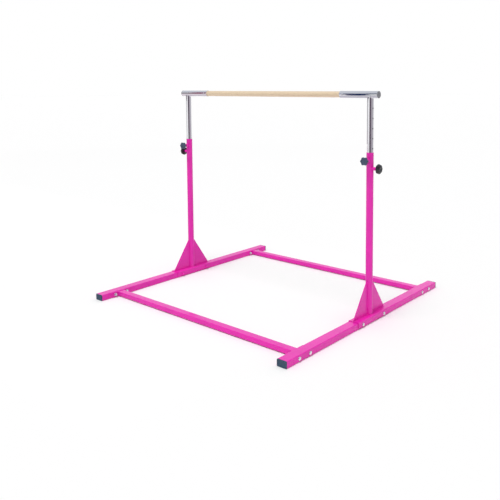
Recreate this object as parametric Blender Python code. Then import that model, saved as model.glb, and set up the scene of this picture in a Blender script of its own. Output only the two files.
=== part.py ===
"""Height-adjustable gymnastics bar for children.

A wooden bar in two chromed sleeves, on telescoping round posts, on a floor frame of two side
rails and two cross tubes. Metres, +Z up. X runs along the bar, -Y is the front, and the origin
is on the floor in the middle of the frame.
"""
import math

import bmesh
import bpy
from mathutils import Matrix, Vector

# Overall layout
POST_SPACING = 1.330          # centre to centre of the two posts
BAR_HEIGHT = 1.150            # bar's axis above the floor, at the setting that is modelled
RAIL_LENGTH = 1.400           # side rail over its end caps
SEAT_GAP = 0.0003             # left between pieces that touch or are cut for each other

# Side rails, flat rectangular tube
RAIL_WIDTH = 0.054
RAIL_HEIGHT = 0.033
RAIL_WALL = 0.0015
RAIL_CORNER = 0.004

# Plastic caps in the rails' ends
CAP_FLANGE = 0.004            # thickness of the plate that covers the tube's end
CAP_EDGE = 0.0012             # chamfer round the plate
CAP_BORDER = 0.0055           # width of the raised rim on the plate
CAP_RECESS = 0.0012           # depth of the plate's sunk middle
CAP_PLUG_DEPTH = 0.020        # how far the plug reaches into the tube
CAP_PLUG_WALL = 0.0018
CAP_RIB_PROUD = 0.0006        # height of the plug's gripping ribs
CAP_RIB_WIDTH = 0.002
CAP_RIB_SPACING = 0.008
CAP_RIBS = 1

# Cross tubes with a welded plate at each end
CROSS_SETBACK = 0.130         # tube's middle from the rail's end
CROSS_WIDTH = 0.040
CROSS_TUBE_HEIGHT = 0.025
CROSS_WALL = 0.0015
CROSS_CORNER = 0.003
END_PLATE_LENGTH = 0.122
END_PLATE_HEIGHT = 0.029
END_PLATE_THICKNESS = 0.003
END_PLATE_CORNER = 0.005
END_PLATE_BOLT_SPACING = 0.078
PLATE_VENT = 0.010            # vent hole through each end plate into the tube

# Carriage bolts and cap nuts
BOLT_DIAMETER = 0.008
BOLT_HOLE = 0.009
BOLT_HEAD_DIAMETER = 0.019
BOLT_HEAD_HEIGHT = 0.0045
BOLT_HEAD_RIM = 0.001         # straight edge under the head's crown
NUT_FLANGE_DIAMETER = 0.018
NUT_FLANGE_THICKNESS = 0.0016
NUT_ACROSS_FLATS = 0.013
NUT_HEX_HEIGHT = 0.0065
NUT_DOME_HEIGHT = 0.0055
NUT_BORE_DEPTH = 0.0085
THREAD_IN_NUT = 0.006         # bolt's length inside its nut

# Foot brackets: a channel over the rail with two triangular webs
FOOT_LENGTH = 0.284
FOOT_PLATE = 0.003
FOOT_SKIRT = 0.024            # height of the channel's sides below its top plate
FOOT_BEND = 0.003             # inside bend radius
FOOT_BOLT_SETBACK = 0.042     # from the foot's ends
WELD_DEPTH = 0.001            # how far a welded piece is let into the plate under it
WEB_THICKNESS = 0.004
WEB_HEIGHT = 0.180            # above the rail
WEB_NOSE = 0.004              # width of a web's cut-off top
WEB_TOE = 0.006               # height of a web's cut-off end

# Outer posts, painted round tube
OUTER_DIAMETER = 0.0365
OUTER_WALL = 0.0015
PIN_BELOW_TOP = 0.080         # locking pin's axis below the post's top
CLAMP_BELOW_TOP = 0.040       # clamp screw's axis below the post's top

# Inner posts, chromed round tube with a row of height holes
POST_CLEARANCE = 0.0005       # each side, inside the outer post
INNER_WALL = 0.0015
HOLE_SPACING = 0.050
HOLE_COUNT = 14
FIRST_HOLE_DROP = 0.0675      # first hole's centre below the bar's axis
LOCKED_HOLE = 6               # the hole that holds the pin, counted from 0 at the top
POST_TAIL = 0.060             # tube below the last hole

# Bar, its core and the two sleeves
BAR_DIAMETER = 0.0315
CORE_DIAMETER = 0.012
SLEEVE_WALL = 0.002
SLEEVE_INBOARD = 0.177        # from the post's centre towards the bar
SLEEVE_OUTBOARD = 0.0465      # from the post's centre outwards, without the cap
BAR_PAST_POST = 0.020         # wood beyond the post's centre
SLEEVE_CAP_FLANGE = 0.0015
SLEEVE_CAP_DOME = 0.0025
SLEEVE_CAP_PLUG = 0.014
SLEEVE_CAP_WALL = 0.002
SCREW_FROM_MOUTH = 0.020      # sleeve's fixing screw from the sleeve's inner end
SCREW_DIAMETER = 0.004
SCREW_HEAD_DIAMETER = 0.010
SCREW_HEAD_HEIGHT = 0.0028
SCREW_HEAD_RIM = 0.001
SCREW_BITE = 0.007            # screw's length in the wood

# Clamp screw: welded boss, stud, swivel pad and lobed knob
STUD_DIAMETER = 0.010
STUD_IN_KNOB = 0.011
STUD_SOCKET_DEPTH = 0.003
BOSS_DIAMETER = 0.020
BOSS_LENGTH = 0.012
BOSS_CHAMFER = 0.001
PAD_THICKNESS = 0.003
PAD_STEM_DIAMETER = 0.004
CLAMP_KNOB_DIAMETER = 0.043
CLAMP_KNOB_THICKNESS = 0.016
CLAMP_KNOB_LOBES = 6
CLAMP_KNOB_SCALLOP = 0.0035   # depth of the hollows between the lobes
CLAMP_KNOB_BACK_EDGE = (0.0025, 0.0025)     # rounding: inwards, and along the axis
CLAMP_KNOB_FRONT_EDGE = (0.0060, 0.0040)
CLAMP_KNOB_CENTRE = 0.054     # knob's middle from the post's axis
CLAMP_HUB_DIAMETER = 0.018
CLAMP_HUB_LENGTH = 0.007

# Locking pin: welded housing, sprung pin and pull knob
PIN_DIAMETER = 0.008
PIN_REACH = 0.005             # pin's nose inside the inner post's wall
PIN_NOSE = 0.0015             # chamfer of the nose
PIN_COLLAR_DIAMETER = 0.0120
PIN_COLLAR_LENGTH = 0.002
PIN_ROD_DIAMETER = 0.0065
HOUSING_DIAMETER = 0.017
HOUSING_LENGTH = 0.018
HOUSING_BORE = 0.0130
HOUSING_END_WALL = 0.003
SPRING_WIRE = 0.0008
SPRING_MEAN_DIAMETER = 0.0097
SPRING_TURNS = 4
PULL_KNOB_DIAMETER = 0.050
PULL_KNOB_GAP = 0.0012        # between the housing and the knob's neck
PULL_NECK_DIAMETER = 0.013
PULL_NECK_LENGTH = 0.00575
PULL_KNOB_THICKNESS = 0.019
PULL_KNOB_LOBES = 8
PULL_KNOB_SCALLOP = 0.0018
PULL_KNOB_BACK_EDGE = (0.0060, 0.0040)
PULL_KNOB_FRONT_EDGE = (0.0130, 0.0095)
PULL_ROD_IN_KNOB = 0.016

# Facets
ROUND = 28                    # bar, sleeves and posts
MEDIUM = 16                   # bosses, housings, pins
SMALL = 12                    # nuts, screws, and holes that show
BOLT_FACETS = 10
BOLT_HOLE_FACETS = 8
HEIGHT_HOLE_FACETS = 10
CLAMP_KNOB_FACETS = 30
PULL_KNOB_FACETS = 32
CORNER_STEPS = 3              # facets in a tube's rounded corner
CROWN_STEPS = 2               # facets across a crown or a knob's rounded edge
MIN_CORNER = 0.0005           # least corner radius of an inset outline
SPRING_POINTS_PER_TURN = 8
SPRING_SIDES = 5
SHARP_DEGREES = 35            # edges steeper than this are shaded sharp

# Places that follow from the sizes above
HALF_SPACING = POST_SPACING / 2
RAIL_TUBE = RAIL_LENGTH - 2 * CAP_FLANGE - 2 * SEAT_GAP
RAIL_MIDDLE = RAIL_HEIGHT / 2
CROSS_Y = RAIL_LENGTH / 2 - CROSS_SETBACK
CROSS_REACH = HALF_SPACING - RAIL_WIDTH / 2 - SEAT_GAP
FOOT_TOP = RAIL_HEIGHT + SEAT_GAP + FOOT_PLATE
FOOT_SIDE = RAIL_WIDTH / 2 + SEAT_GAP + FOOT_PLATE
FOOT_BOLT_REACH = FOOT_LENGTH / 2 - FOOT_BOLT_SETBACK
PIN_HEIGHT = BAR_HEIGHT - FIRST_HOLE_DROP - LOCKED_HOLE * HOLE_SPACING
OUTER_TOP = PIN_HEIGHT + PIN_BELOW_TOP
CLAMP_HEIGHT = OUTER_TOP - CLAMP_BELOW_TOP
OUTER_RADIUS = OUTER_DIAMETER / 2
INNER_DIAMETER = OUTER_DIAMETER - 2 * OUTER_WALL - 2 * POST_CLEARANCE
INNER_RADIUS = INNER_DIAMETER / 2
INNER_DROP = FIRST_HOLE_DROP + (HOLE_COUNT - 1) * HOLE_SPACING + POST_TAIL
SLEEVE_BORE = BAR_DIAMETER + 2 * SEAT_GAP
SLEEVE_DIAMETER = SLEEVE_BORE + 2 * SLEEVE_WALL
BAR_LENGTH = POST_SPACING + 2 * BAR_PAST_POST

# Colours
PINK = (0.81, 0.017, 0.43)
CHROME = (0.80, 0.80, 0.83)
ZINC = (0.80, 0.79, 0.82)
STEEL = (0.50, 0.50, 0.52)
NAVY_PLASTIC = (0.014, 0.048, 0.098)
BLACK_PLASTIC = (0.012, 0.014, 0.020)
GREY_PLASTIC = (0.22, 0.22, 0.24)
BEECH = (0.76, 0.60, 0.41)
FIBREGLASS = (0.75, 0.72, 0.58)
NYLON = (0.85, 0.85, 0.80)

SIDES = {"left": -1, "right": 1}
ENDS = {"front": -1, "rear": 1}

# Turns from local Z to where a piece points
UP = Matrix.Identity(4)
FRONT = Matrix.Rotation(math.pi / 2, 4, "X")
REAR = Matrix.Rotation(-math.pi / 2, 4, "X")
OUT = {side: Matrix.Rotation(side * math.pi / 2, 4, "Y") for side in SIDES.values()}


def material(name, colour, roughness, metallic):
    made = bpy.data.materials.new(name)
    made.use_nodes = True
    shader = made.node_tree.nodes["Principled BSDF"]
    shader.inputs["Base Color"].default_value = (*colour, 1.0)
    shader.inputs["Roughness"].default_value = roughness
    shader.inputs["Metallic"].default_value = metallic
    return made


def circle(diameter, z, segments):
    """Points of a circle in the plane at height z."""
    turn = 2 * math.pi / segments
    radius = diameter / 2
    return [Vector((radius * math.cos(i * turn), radius * math.sin(i * turn), z))
            for i in range(segments)]


def lobed(diameter, scallop, lobes, z, segments):
    """A circle whose rim is drawn in between its lobes."""
    points = []
    for i in range(segments):
        angle = 2 * math.pi * i / segments
        hollow = (1 - math.cos(lobes * angle)) / 2
        radius = diameter / 2 - scallop * hollow
        points.append(Vector((radius * math.cos(angle), radius * math.sin(angle), z)))
    return points


def hexagon(across_flats, z, segments):
    """A hexagon with its corners on the points of a circle of as many segments."""
    points = []
    for i in range(segments):
        angle = 2 * math.pi * i / segments
        from_flat = (angle % (math.pi / 3)) - math.pi / 6
        radius = across_flats / 2 / math.cos(from_flat)
        points.append(Vector((radius * math.cos(angle), radius * math.sin(angle), z)))
    return points


def rounded_rectangle(width, height, corner, z):
    """Rounded rectangle in the plane at height z, anticlockwise from its right side."""
    points = []
    centres = ((1, 1, 0), (-1, 1, 1), (-1, -1, 2), (1, -1, 3))
    for sx, sy, quarter in centres:
        for step in range(CORNER_STEPS + 1):
            angle = (quarter + step / CORNER_STEPS) * math.pi / 2
            points.append(Vector((sx * (width / 2 - corner) + corner * math.cos(angle),
                                  sy * (height / 2 - corner) + corner * math.sin(angle), z)))
    return points


def apex(z):
    """A ring drawn in to one point on the axis."""
    return [Vector((0.0, 0.0, z))]


def skin(bm, rings, closed=False):
    """Skin a stack of rings. A closed stack joins its last ring to its first, as a tube's wall
    does. An open one gets a flat face on each end ring that isn't a single point."""
    rows = [[bm.verts.new(point) for point in ring] for ring in rings]
    pairs = list(zip(rows, rows[1:]))
    if closed:
        pairs.append((rows[-1], rows[0]))
    else:
        for row in (rows[0], rows[-1]):
            if len(row) > 1:
                bm.faces.new(row)
    for low, high in pairs:
        count = max(len(low), len(high))
        for i in range(count):
            j = (i + 1) % count
            if len(low) == 1:
                bm.faces.new((low[0], high[j], high[i]))
            elif len(high) == 1:
                bm.faces.new((low[i], low[j], high[0]))
            else:
                bm.faces.new((low[i], low[j], high[j], high[i]))


def laid(stack, spot=(0, 0, 0), aim=UP):
    """The stack with its local Z turned to the aim and its origin at the spot."""
    rings, closed = stack
    move = Matrix.Translation(spot) @ aim
    return ([[move @ point for point in ring] for ring in rings], closed)


def build_mesh(name, stacks):
    """A mesh of all the stacks, each a separate closed body with its faces pointing out."""
    bm = bmesh.new()
    for rings, closed in stacks:
        skin(bm, rings, closed)
    bmesh.ops.recalc_face_normals(bm, faces=bm.faces)
    mesh = bpy.data.meshes.new(name)
    bm.to_mesh(mesh)
    bm.free()
    return mesh


def piece(name, finish, stacks, location=(0, 0, 0), parent=None):
    """One named object made of the stacks, at a location in its parent's frame."""
    mesh = build_mesh(name, stacks)
    mesh.materials.append(finish)
    mesh.shade_smooth()
    mesh.set_sharp_from_angle(angle=math.radians(SHARP_DEGREES))
    made = bpy.data.objects.new(name, mesh)
    made.location = location
    made.parent = parent
    bpy.context.scene.collection.objects.link(made)
    return made


def carve(target, stacks, operation="DIFFERENCE"):
    """Cut the stacks out of the target, or join them to it, in the target's own frame."""
    name = f"{target.name}.{operation.lower()}"
    tool = bpy.data.objects.new(name, build_mesh(name, stacks))
    tool.parent = target
    tool.hide_render = True
    tool.display_type = "WIRE"
    bpy.context.scene.collection.objects.link(tool)
    change = target.modifiers.new(operation.title(), "BOOLEAN")
    change.operation = operation
    change.solver = "EXACT"
    change.object = tool


def carrier(name, location):
    """The empty that carries a moving group, on its joint's axis."""
    made = bpy.data.objects.new(name, None)
    made.location = location
    bpy.context.scene.collection.objects.link(made)
    return made


def tube(width, height, corner, wall, low, high):
    """Rectangular tube from low to high along Z."""
    inside = (width - 2 * wall, height - 2 * wall, max(corner - wall, MIN_CORNER))
    return ([rounded_rectangle(width, height, corner, low),
             rounded_rectangle(width, height, corner, high),
             rounded_rectangle(*inside, high),
             rounded_rectangle(*inside, low)], True)


def turned(steps, segments, closed=False):
    """Turned solid from (diameter, z) steps. A diameter of 0 is a point on the axis."""
    return ([circle(d, z, segments) if d > 0 else apex(z) for d, z in steps], closed)


def pipe(diameter, bore, low, high):
    """Round tube from low to high along Z."""
    return turned([(diameter, low), (diameter, high), (bore, high), (bore, low)], ROUND,
                  closed=True)


def crown(diameter, rim, top):
    """Steps of a domed crown, from its apex down to its rim."""
    turns = [math.pi / 2 * i / CROWN_STEPS for i in range(CROWN_STEPS + 1)]
    return [(diameter * math.sin(a), rim + (top - rim) * math.cos(a)) for a in turns]


def rounded_disc(diameter, back, front, back_edge, front_edge):
    """Steps of a disc from its back to its front. Each edge is rounded by an amount inwards
    and an amount along the axis."""
    turns = [math.pi / 2 * i / CROWN_STEPS for i in range(CROWN_STEPS + 1)]
    opening = [(diameter - 2 * back_edge[0] * (1 - math.sin(a)),
                back + back_edge[1] * (1 - math.cos(a))) for a in turns]
    closing = [(diameter - 2 * front_edge[0] * (1 - math.cos(a)),
                front - front_edge[1] * (1 - math.sin(a))) for a in turns]
    return opening + closing


def drill(diameter, length, spot, aim, facets=SMALL):
    """A cylinder to cut a hole with, centred on the spot."""
    return laid(turned([(diameter, -length / 2), (diameter, length / 2)], facets), spot, aim)


def bolt_drill(length, spot):
    """A cylinder along X to cut a bolt's clearance hole with."""
    return drill(BOLT_HOLE, length, spot, OUT[1], BOLT_HOLE_FACETS)


def clearance(diameter):
    """Diameter of the hole that a shank passes through."""
    return diameter + 2 * SEAT_GAP


def bolt_spots(spacing, *middles):
    """Distances along the rail of pairs of bolts about each middle."""
    return [middle + half * spacing for middle in middles for half in (-0.5, 0.5)]


CROSS_BOLT_SPOTS = bolt_spots(END_PLATE_BOLT_SPACING, -CROSS_Y, CROSS_Y)
FOOT_BOLT_SPOTS = bolt_spots(2 * FOOT_BOLT_REACH, 0)


def side_rails(paint):
    """Two rectangular tubes along Y, drilled through for every bolt that crosses them."""
    for name, side in SIDES.items():
        rail = piece(f"{name}_rail", paint,
                     [laid(tube(RAIL_WIDTH, RAIL_HEIGHT, RAIL_CORNER, RAIL_WALL,
                                -RAIL_TUBE / 2, RAIL_TUBE / 2), aim=FRONT)],
                     (side * HALF_SPACING, 0, RAIL_MIDDLE))
        carve(rail, [bolt_drill(2 * RAIL_WIDTH, (0, y, 0))
                     for y in CROSS_BOLT_SPOTS + FOOT_BOLT_SPOTS])


def rail_cap():
    """Plate with a sunk middle and a hollow ribbed plug. Local Z points out of the tube, and
    z = 0 is the plate's inner side."""
    bore = (RAIL_WIDTH - 2 * RAIL_WALL, RAIL_HEIGHT - 2 * RAIL_WALL)
    bore_corner = RAIL_CORNER - RAIL_WALL

    def ring(inset, z, size=(RAIL_WIDTH, RAIL_HEIGHT), corner=RAIL_CORNER):
        left = max(corner - inset, MIN_CORNER)
        return rounded_rectangle(size[0] - 2 * inset, size[1] - 2 * inset, left, z)

    def plug(inset, z):
        return ring(inset, z, bore, bore_corner)

    tip, root = SEAT_GAP + CAP_RIB_PROUD, -CAP_PLUG_DEPTH
    rings = [ring(CAP_BORDER + CAP_RECESS, CAP_FLANGE - CAP_RECESS),
             ring(CAP_BORDER, CAP_FLANGE),
             ring(CAP_EDGE, CAP_FLANGE),
             ring(0, CAP_FLANGE - CAP_EDGE),
             ring(0, 0),
             plug(tip, 0)]
    for number in range(1, CAP_RIBS + 1):
        rib = -number * CAP_RIB_SPACING
        rings += [plug(tip, rib), plug(SEAT_GAP, rib - CAP_RIB_PROUD),
                  plug(tip, rib - CAP_RIB_WIDTH)]
    rings += [plug(tip, root), plug(tip + CAP_PLUG_WALL, root), plug(tip + CAP_PLUG_WALL, 0)]
    return (rings, False)


def rail_caps(plastic):
    """A cap in each end of each rail. The plate's inner side meets the tube's end."""
    for side_name, side in SIDES.items():
        for end_name, end in ENDS.items():
            aim = FRONT if end < 0 else REAR
            piece(f"{side_name}_{end_name}_rail_cap", plastic, [laid(rail_cap(), aim=aim)],
                  (side * HALF_SPACING, end * (RAIL_LENGTH / 2 - CAP_FLANGE), RAIL_MIDDLE))


def cross_tubes(paint):
    """Two tubes between the rails, each with a bolt plate welded to both ends."""
    for name, end in ENDS.items():
        reach = CROSS_REACH - END_PLATE_THICKNESS / 2
        cross = piece(f"{name}_cross_tube", paint,
                      [laid(tube(CROSS_TUBE_HEIGHT, CROSS_WIDTH, CROSS_CORNER, CROSS_WALL,
                                 -reach, reach), aim=OUT[1])],
                      (0, end * CROSS_Y, RAIL_MIDDLE))
        plate = [rounded_rectangle(END_PLATE_HEIGHT, END_PLATE_LENGTH, END_PLATE_CORNER, z)
                 for z in (-END_PLATE_THICKNESS / 2, END_PLATE_THICKNESS / 2)]
        middles = [side * (CROSS_REACH - END_PLATE_THICKNESS / 2) for side in SIDES.values()]
        carve(cross, [laid((plate, False), (x, 0, 0), OUT[1]) for x in middles], "UNION")
        through = 4 * END_PLATE_THICKNESS
        holes = [bolt_drill(through, (x, y, 0))
                 for x in middles for y in bolt_spots(END_PLATE_BOLT_SPACING, 0)]
        vents = [drill(PLATE_VENT, through, (x, 0, 0), OUT[1], BOLT_HOLE_FACETS)
                 for x in middles]
        carve(cross, holes + vents)


def bolt(grip):
    """Carriage bolt. z = 0 is under its head, and the grip is what it clamps."""
    return turned(crown(BOLT_HEAD_DIAMETER, BOLT_HEAD_RIM, BOLT_HEAD_HEIGHT)
                  + [(BOLT_HEAD_DIAMETER, SEAT_GAP), (BOLT_DIAMETER, SEAT_GAP),
                     (BOLT_DIAMETER, -grip - THREAD_IN_NUT)], BOLT_FACETS)


def cap_nut(start):
    """Outside of a domed hexagon nut from a start height. z = 0 is the face that it clamps, and
    the hexagon's top is the crown's rim."""
    top = NUT_HEX_HEIGHT + NUT_DOME_HEIGHT
    dome, _ = turned(crown(NUT_ACROSS_FLATS, NUT_HEX_HEIGHT, top)[:-1], SMALL)
    return [hexagon(NUT_ACROSS_FLATS, start, SMALL),
            hexagon(NUT_ACROSS_FLATS, NUT_HEX_HEIGHT, SMALL)] + dome[::-1]


def flanged_cap_nut():
    """Domed nut on a round flange, with a blind bore."""
    bore = clearance(BOLT_DIAMETER)
    return ([apex(NUT_BORE_DEPTH), circle(bore, NUT_BORE_DEPTH, SMALL), circle(bore, 0, SMALL),
             circle(NUT_FLANGE_DIAMETER, 0, SMALL),
             circle(NUT_FLANGE_DIAMETER, NUT_FLANGE_THICKNESS, SMALL)]
            + cap_nut(NUT_FLANGE_THICKNESS), False)


def cross_fasteners(zinc):
    """Bolts from outside the rails into flanged cap nuts on the cross tubes' end plates."""
    head = HALF_SPACING + RAIL_WIDTH / 2
    face = CROSS_REACH - END_PLATE_THICKNESS - SEAT_GAP
    for side_name, side in SIDES.items():
        for end_name, end in ENDS.items():
            for number, y in enumerate(bolt_spots(END_PLATE_BOLT_SPACING, end * CROSS_Y), 1):
                stem = f"{side_name}_{end_name}_cross"
                piece(f"{stem}_bolt_{number}", zinc, [laid(bolt(head - face), aim=OUT[side])],
                      (side * head, y, RAIL_MIDDLE))
                piece(f"{stem}_nut_{number}", zinc, [laid(flanged_cap_nut(), aim=OUT[-side])],
                      (side * face, y, RAIL_MIDDLE))


def foot_bolts(zinc):
    """Bolts through each foot and its rail, one in front of the post and one behind it."""
    for side_name, side in SIDES.items():
        for end_name, end in ENDS.items():
            piece(f"{side_name}_{end_name}_foot_bolt", zinc,
                  [laid(bolt(2 * FOOT_SIDE), aim=OUT[side])],
                  (side * (HALF_SPACING + FOOT_SIDE), end * FOOT_BOLT_REACH, RAIL_MIDDLE))


def foot_channel():
    """Channel section that fits over the rail, bent from plate, with its open side down."""
    inner = RAIL_WIDTH / 2 + SEAT_GAP
    outer = FOOT_SIDE
    under = RAIL_HEIGHT + SEAT_GAP
    bottom = FOOT_TOP - FOOT_SKIRT

    def bend(half, top, radius, way):
        """A quarter bend at the top corner of one side, from the side to the top."""
        steps = [i / CORNER_STEPS * math.pi / 2 for i in range(CORNER_STEPS + 1)]
        arc = [(half - radius + radius * math.cos(a), top - radius + radius * math.sin(a))
               for a in steps]
        return arc if way > 0 else [(-x, z) for x, z in reversed(arc)]

    wide = FOOT_BEND + FOOT_PLATE
    section = [(outer, bottom)] + bend(outer, FOOT_TOP, wide, 1) + bend(outer, FOOT_TOP, wide, -1)
    section += [(-outer, bottom), (-inner, bottom)]
    section += [(x, z) for x, z in reversed(bend(inner, under, FOOT_BEND, -1))]
    section += [(x, z) for x, z in reversed(bend(inner, under, FOOT_BEND, 1))]
    section += [(inner, bottom)]
    half = FOOT_LENGTH / 2
    return ([[Vector((x, y, z)) for x, z in section] for y in (-half, half)], False)


def foot_web(end):
    """Triangular web in the post's middle plane, from the post's face down to the foot's end."""
    near = OUTER_RADIUS + SEAT_GAP
    far = FOOT_LENGTH / 2
    root = FOOT_TOP - WELD_DEPTH
    top = RAIL_HEIGHT + WEB_HEIGHT
    section = [(near, root), (far, root), (far, FOOT_TOP + WEB_TOE), (near + WEB_NOSE, top),
               (near, top)]
    return ([[Vector((x, end * y, z)) for y, z in section]
             for x in (-WEB_THICKNESS / 2, WEB_THICKNESS / 2)], False)


def foot_brackets(paint):
    """The channel over each rail with its welded webs and cap nuts, drilled for its bolts."""
    reach = 2 * (FOOT_SIDE + NUT_BORE_DEPTH)
    for name, side in SIDES.items():
        foot = piece(f"{name}_foot_bracket", paint, [foot_channel()], (side * HALF_SPACING, 0, 0))
        nuts = [laid((cap_nut(-WELD_DEPTH), False), (-side * FOOT_SIDE, y, RAIL_MIDDLE),
                     OUT[-side]) for y in FOOT_BOLT_SPOTS]
        carve(foot, [foot_web(end) for end in ENDS.values()] + nuts, "UNION")
        carve(foot, [bolt_drill(reach, (0, y, RAIL_MIDDLE)) for y in FOOT_BOLT_SPOTS])


def outer_posts(paint):
    """Round tubes that stand on the feet, drilled for the clamp screw and the locking pin."""
    foot = FOOT_TOP + SEAT_GAP
    for name, side in SIDES.items():
        post = piece(f"{name}_outer_post", paint,
                     [pipe(OUTER_DIAMETER, OUTER_DIAMETER - 2 * OUTER_WALL, 0, OUTER_TOP - foot)],
                     (side * HALF_SPACING, 0, foot))
        carve(post, [drill(clearance(STUD_DIAMETER), OUTER_RADIUS,
                           (0, -OUTER_RADIUS, CLAMP_HEIGHT - foot), FRONT),
                     drill(clearance(PIN_DIAMETER), OUTER_RADIUS,
                           (side * OUTER_RADIUS, 0, PIN_HEIGHT - foot), OUT[side])])


def inner_posts(chrome, bar):
    """Round tubes with a row of height holes in their outer side, coped to fit the sleeve."""
    for name, side in SIDES.items():
        post = piece(f"{name}_inner_post", chrome,
                     [pipe(INNER_DIAMETER, INNER_DIAMETER - 2 * INNER_WALL, -INNER_DROP, 0)],
                     (side * HALF_SPACING, 0, 0), bar)
        cope = laid(turned([(SLEEVE_DIAMETER + 2 * SEAT_GAP, z)
                            for z in (-INNER_DIAMETER, INNER_DIAMETER)], ROUND), aim=OUT[1])
        holes = [drill(clearance(PIN_DIAMETER), INNER_RADIUS,
                       (side * INNER_RADIUS, 0, -FIRST_HOLE_DROP - k * HOLE_SPACING), OUT[side],
                       HEIGHT_HOLE_FACETS) for k in range(HOLE_COUNT)]
        carve(post, [cope] + holes)


def screw_place(side):
    """The sleeve screw's distance along the bar from its middle."""
    return side * (HALF_SPACING - SLEEVE_INBOARD + SCREW_FROM_MOUTH)


def sleeves(chrome, bar):
    """Round sleeves across the tops of the inner posts, each drilled for its fixing screw."""
    for name, side in SIDES.items():
        wall = pipe(SLEEVE_DIAMETER, SLEEVE_BORE, -SLEEVE_INBOARD, SLEEVE_OUTBOARD)
        sleeve = piece(f"{name}_sleeve", chrome, [laid(wall, aim=OUT[side])],
                       (side * HALF_SPACING, 0, 0), bar)
        spot = (screw_place(side) - side * HALF_SPACING, -SLEEVE_DIAMETER / 2, 0)
        carve(sleeve, [drill(clearance(SCREW_DIAMETER), SLEEVE_DIAMETER / 2, spot, FRONT)])


def sleeve_caps(plastic, bar):
    """Domed plugs in the sleeves' outer ends. z = 0 is the flange's inner side."""
    plug = SLEEVE_BORE - 2 * SEAT_GAP
    hollow = plug - 2 * SLEEVE_CAP_WALL
    floor = SLEEVE_CAP_FLANGE - SLEEVE_CAP_WALL
    profile = turned(crown(SLEEVE_DIAMETER, SLEEVE_CAP_FLANGE, SLEEVE_CAP_FLANGE + SLEEVE_CAP_DOME)
                     + [(SLEEVE_DIAMETER, SEAT_GAP), (plug, SEAT_GAP), (plug, -SLEEVE_CAP_PLUG),
                        (hollow, -SLEEVE_CAP_PLUG), (hollow, floor), (0, floor)], ROUND)
    for name, side in SIDES.items():
        piece(f"{name}_sleeve_cap", plastic, [laid(profile, aim=OUT[side])],
              (side * (HALF_SPACING + SLEEVE_OUTBOARD), 0, 0), bar)


def sleeve_screws(zinc, bar):
    """One pan-head screw through the front of each sleeve into the wood."""
    seat = SLEEVE_DIAMETER / 2 + SEAT_GAP
    tip = -(SLEEVE_WALL + 2 * SEAT_GAP + SCREW_BITE)
    head = turned(crown(SCREW_HEAD_DIAMETER, SCREW_HEAD_RIM, SCREW_HEAD_HEIGHT)
                  + [(SCREW_HEAD_DIAMETER, 0), (SCREW_DIAMETER, 0), (SCREW_DIAMETER, tip)], SMALL)
    for name, side in SIDES.items():
        piece(f"{name}_sleeve_screw", zinc, [laid(head, aim=FRONT)],
              (screw_place(side), -seat, 0), bar)


def wooden_bar(wood, fibreglass, bar):
    """Wooden bar with a fibreglass core, pilot-drilled for the sleeve screws."""
    half = BAR_LENGTH / 2
    wall = pipe(BAR_DIAMETER, clearance(CORE_DIAMETER), -half, half)
    bar_wood = piece("wooden_bar", wood, [laid(wall, aim=OUT[1])], parent=bar)
    depth = 2 * (SCREW_BITE + 2 * SEAT_GAP)
    carve(bar_wood, [drill(clearance(SCREW_DIAMETER), depth,
                           (screw_place(side), -BAR_DIAMETER / 2, 0), FRONT)
                     for side in SIDES.values()])
    piece("bar_core", fibreglass,
          [laid(turned([(CORE_DIAMETER, -half), (CORE_DIAMETER, half)], MEDIUM), aim=OUT[1])],
          parent=bar)


def post_cope(diameter):
    """A cylinder along the post's axis, to cope a piece of a diameter that is welded to it."""
    return drill(clearance(OUTER_DIAMETER), 2 * diameter, (0, 0, 0), UP, ROUND)


def clamp_bosses(paint):
    """Threaded bosses welded to the fronts of the posts. z = 0 is the post's axis."""
    bore = clearance(STUD_DIAMETER)
    root = OUTER_RADIUS / 2
    face = OUTER_RADIUS + SEAT_GAP + BOSS_LENGTH
    profile = turned([(bore, root), (BOSS_DIAMETER, root), (BOSS_DIAMETER, face - BOSS_CHAMFER),
                      (BOSS_DIAMETER - 2 * BOSS_CHAMFER, face), (bore, face)],
                     MEDIUM, closed=True)
    for name, side in SIDES.items():
        boss = piece(f"{name}_clamp_boss", paint, [laid(profile, aim=FRONT)],
                     (side * HALF_SPACING, 0, CLAMP_HEIGHT))
        carve(boss, [post_cope(BOSS_DIAMETER)])


def lobed_stack(steps, scallop, lobes, segments):
    """The steps as rings that are all drawn in between the lobes, the widest ring the most."""
    widest = max(diameter for diameter, z in steps)
    return [lobed(diameter, scallop * diameter / widest, lobes, z, segments)
            for diameter, z in steps]


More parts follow.
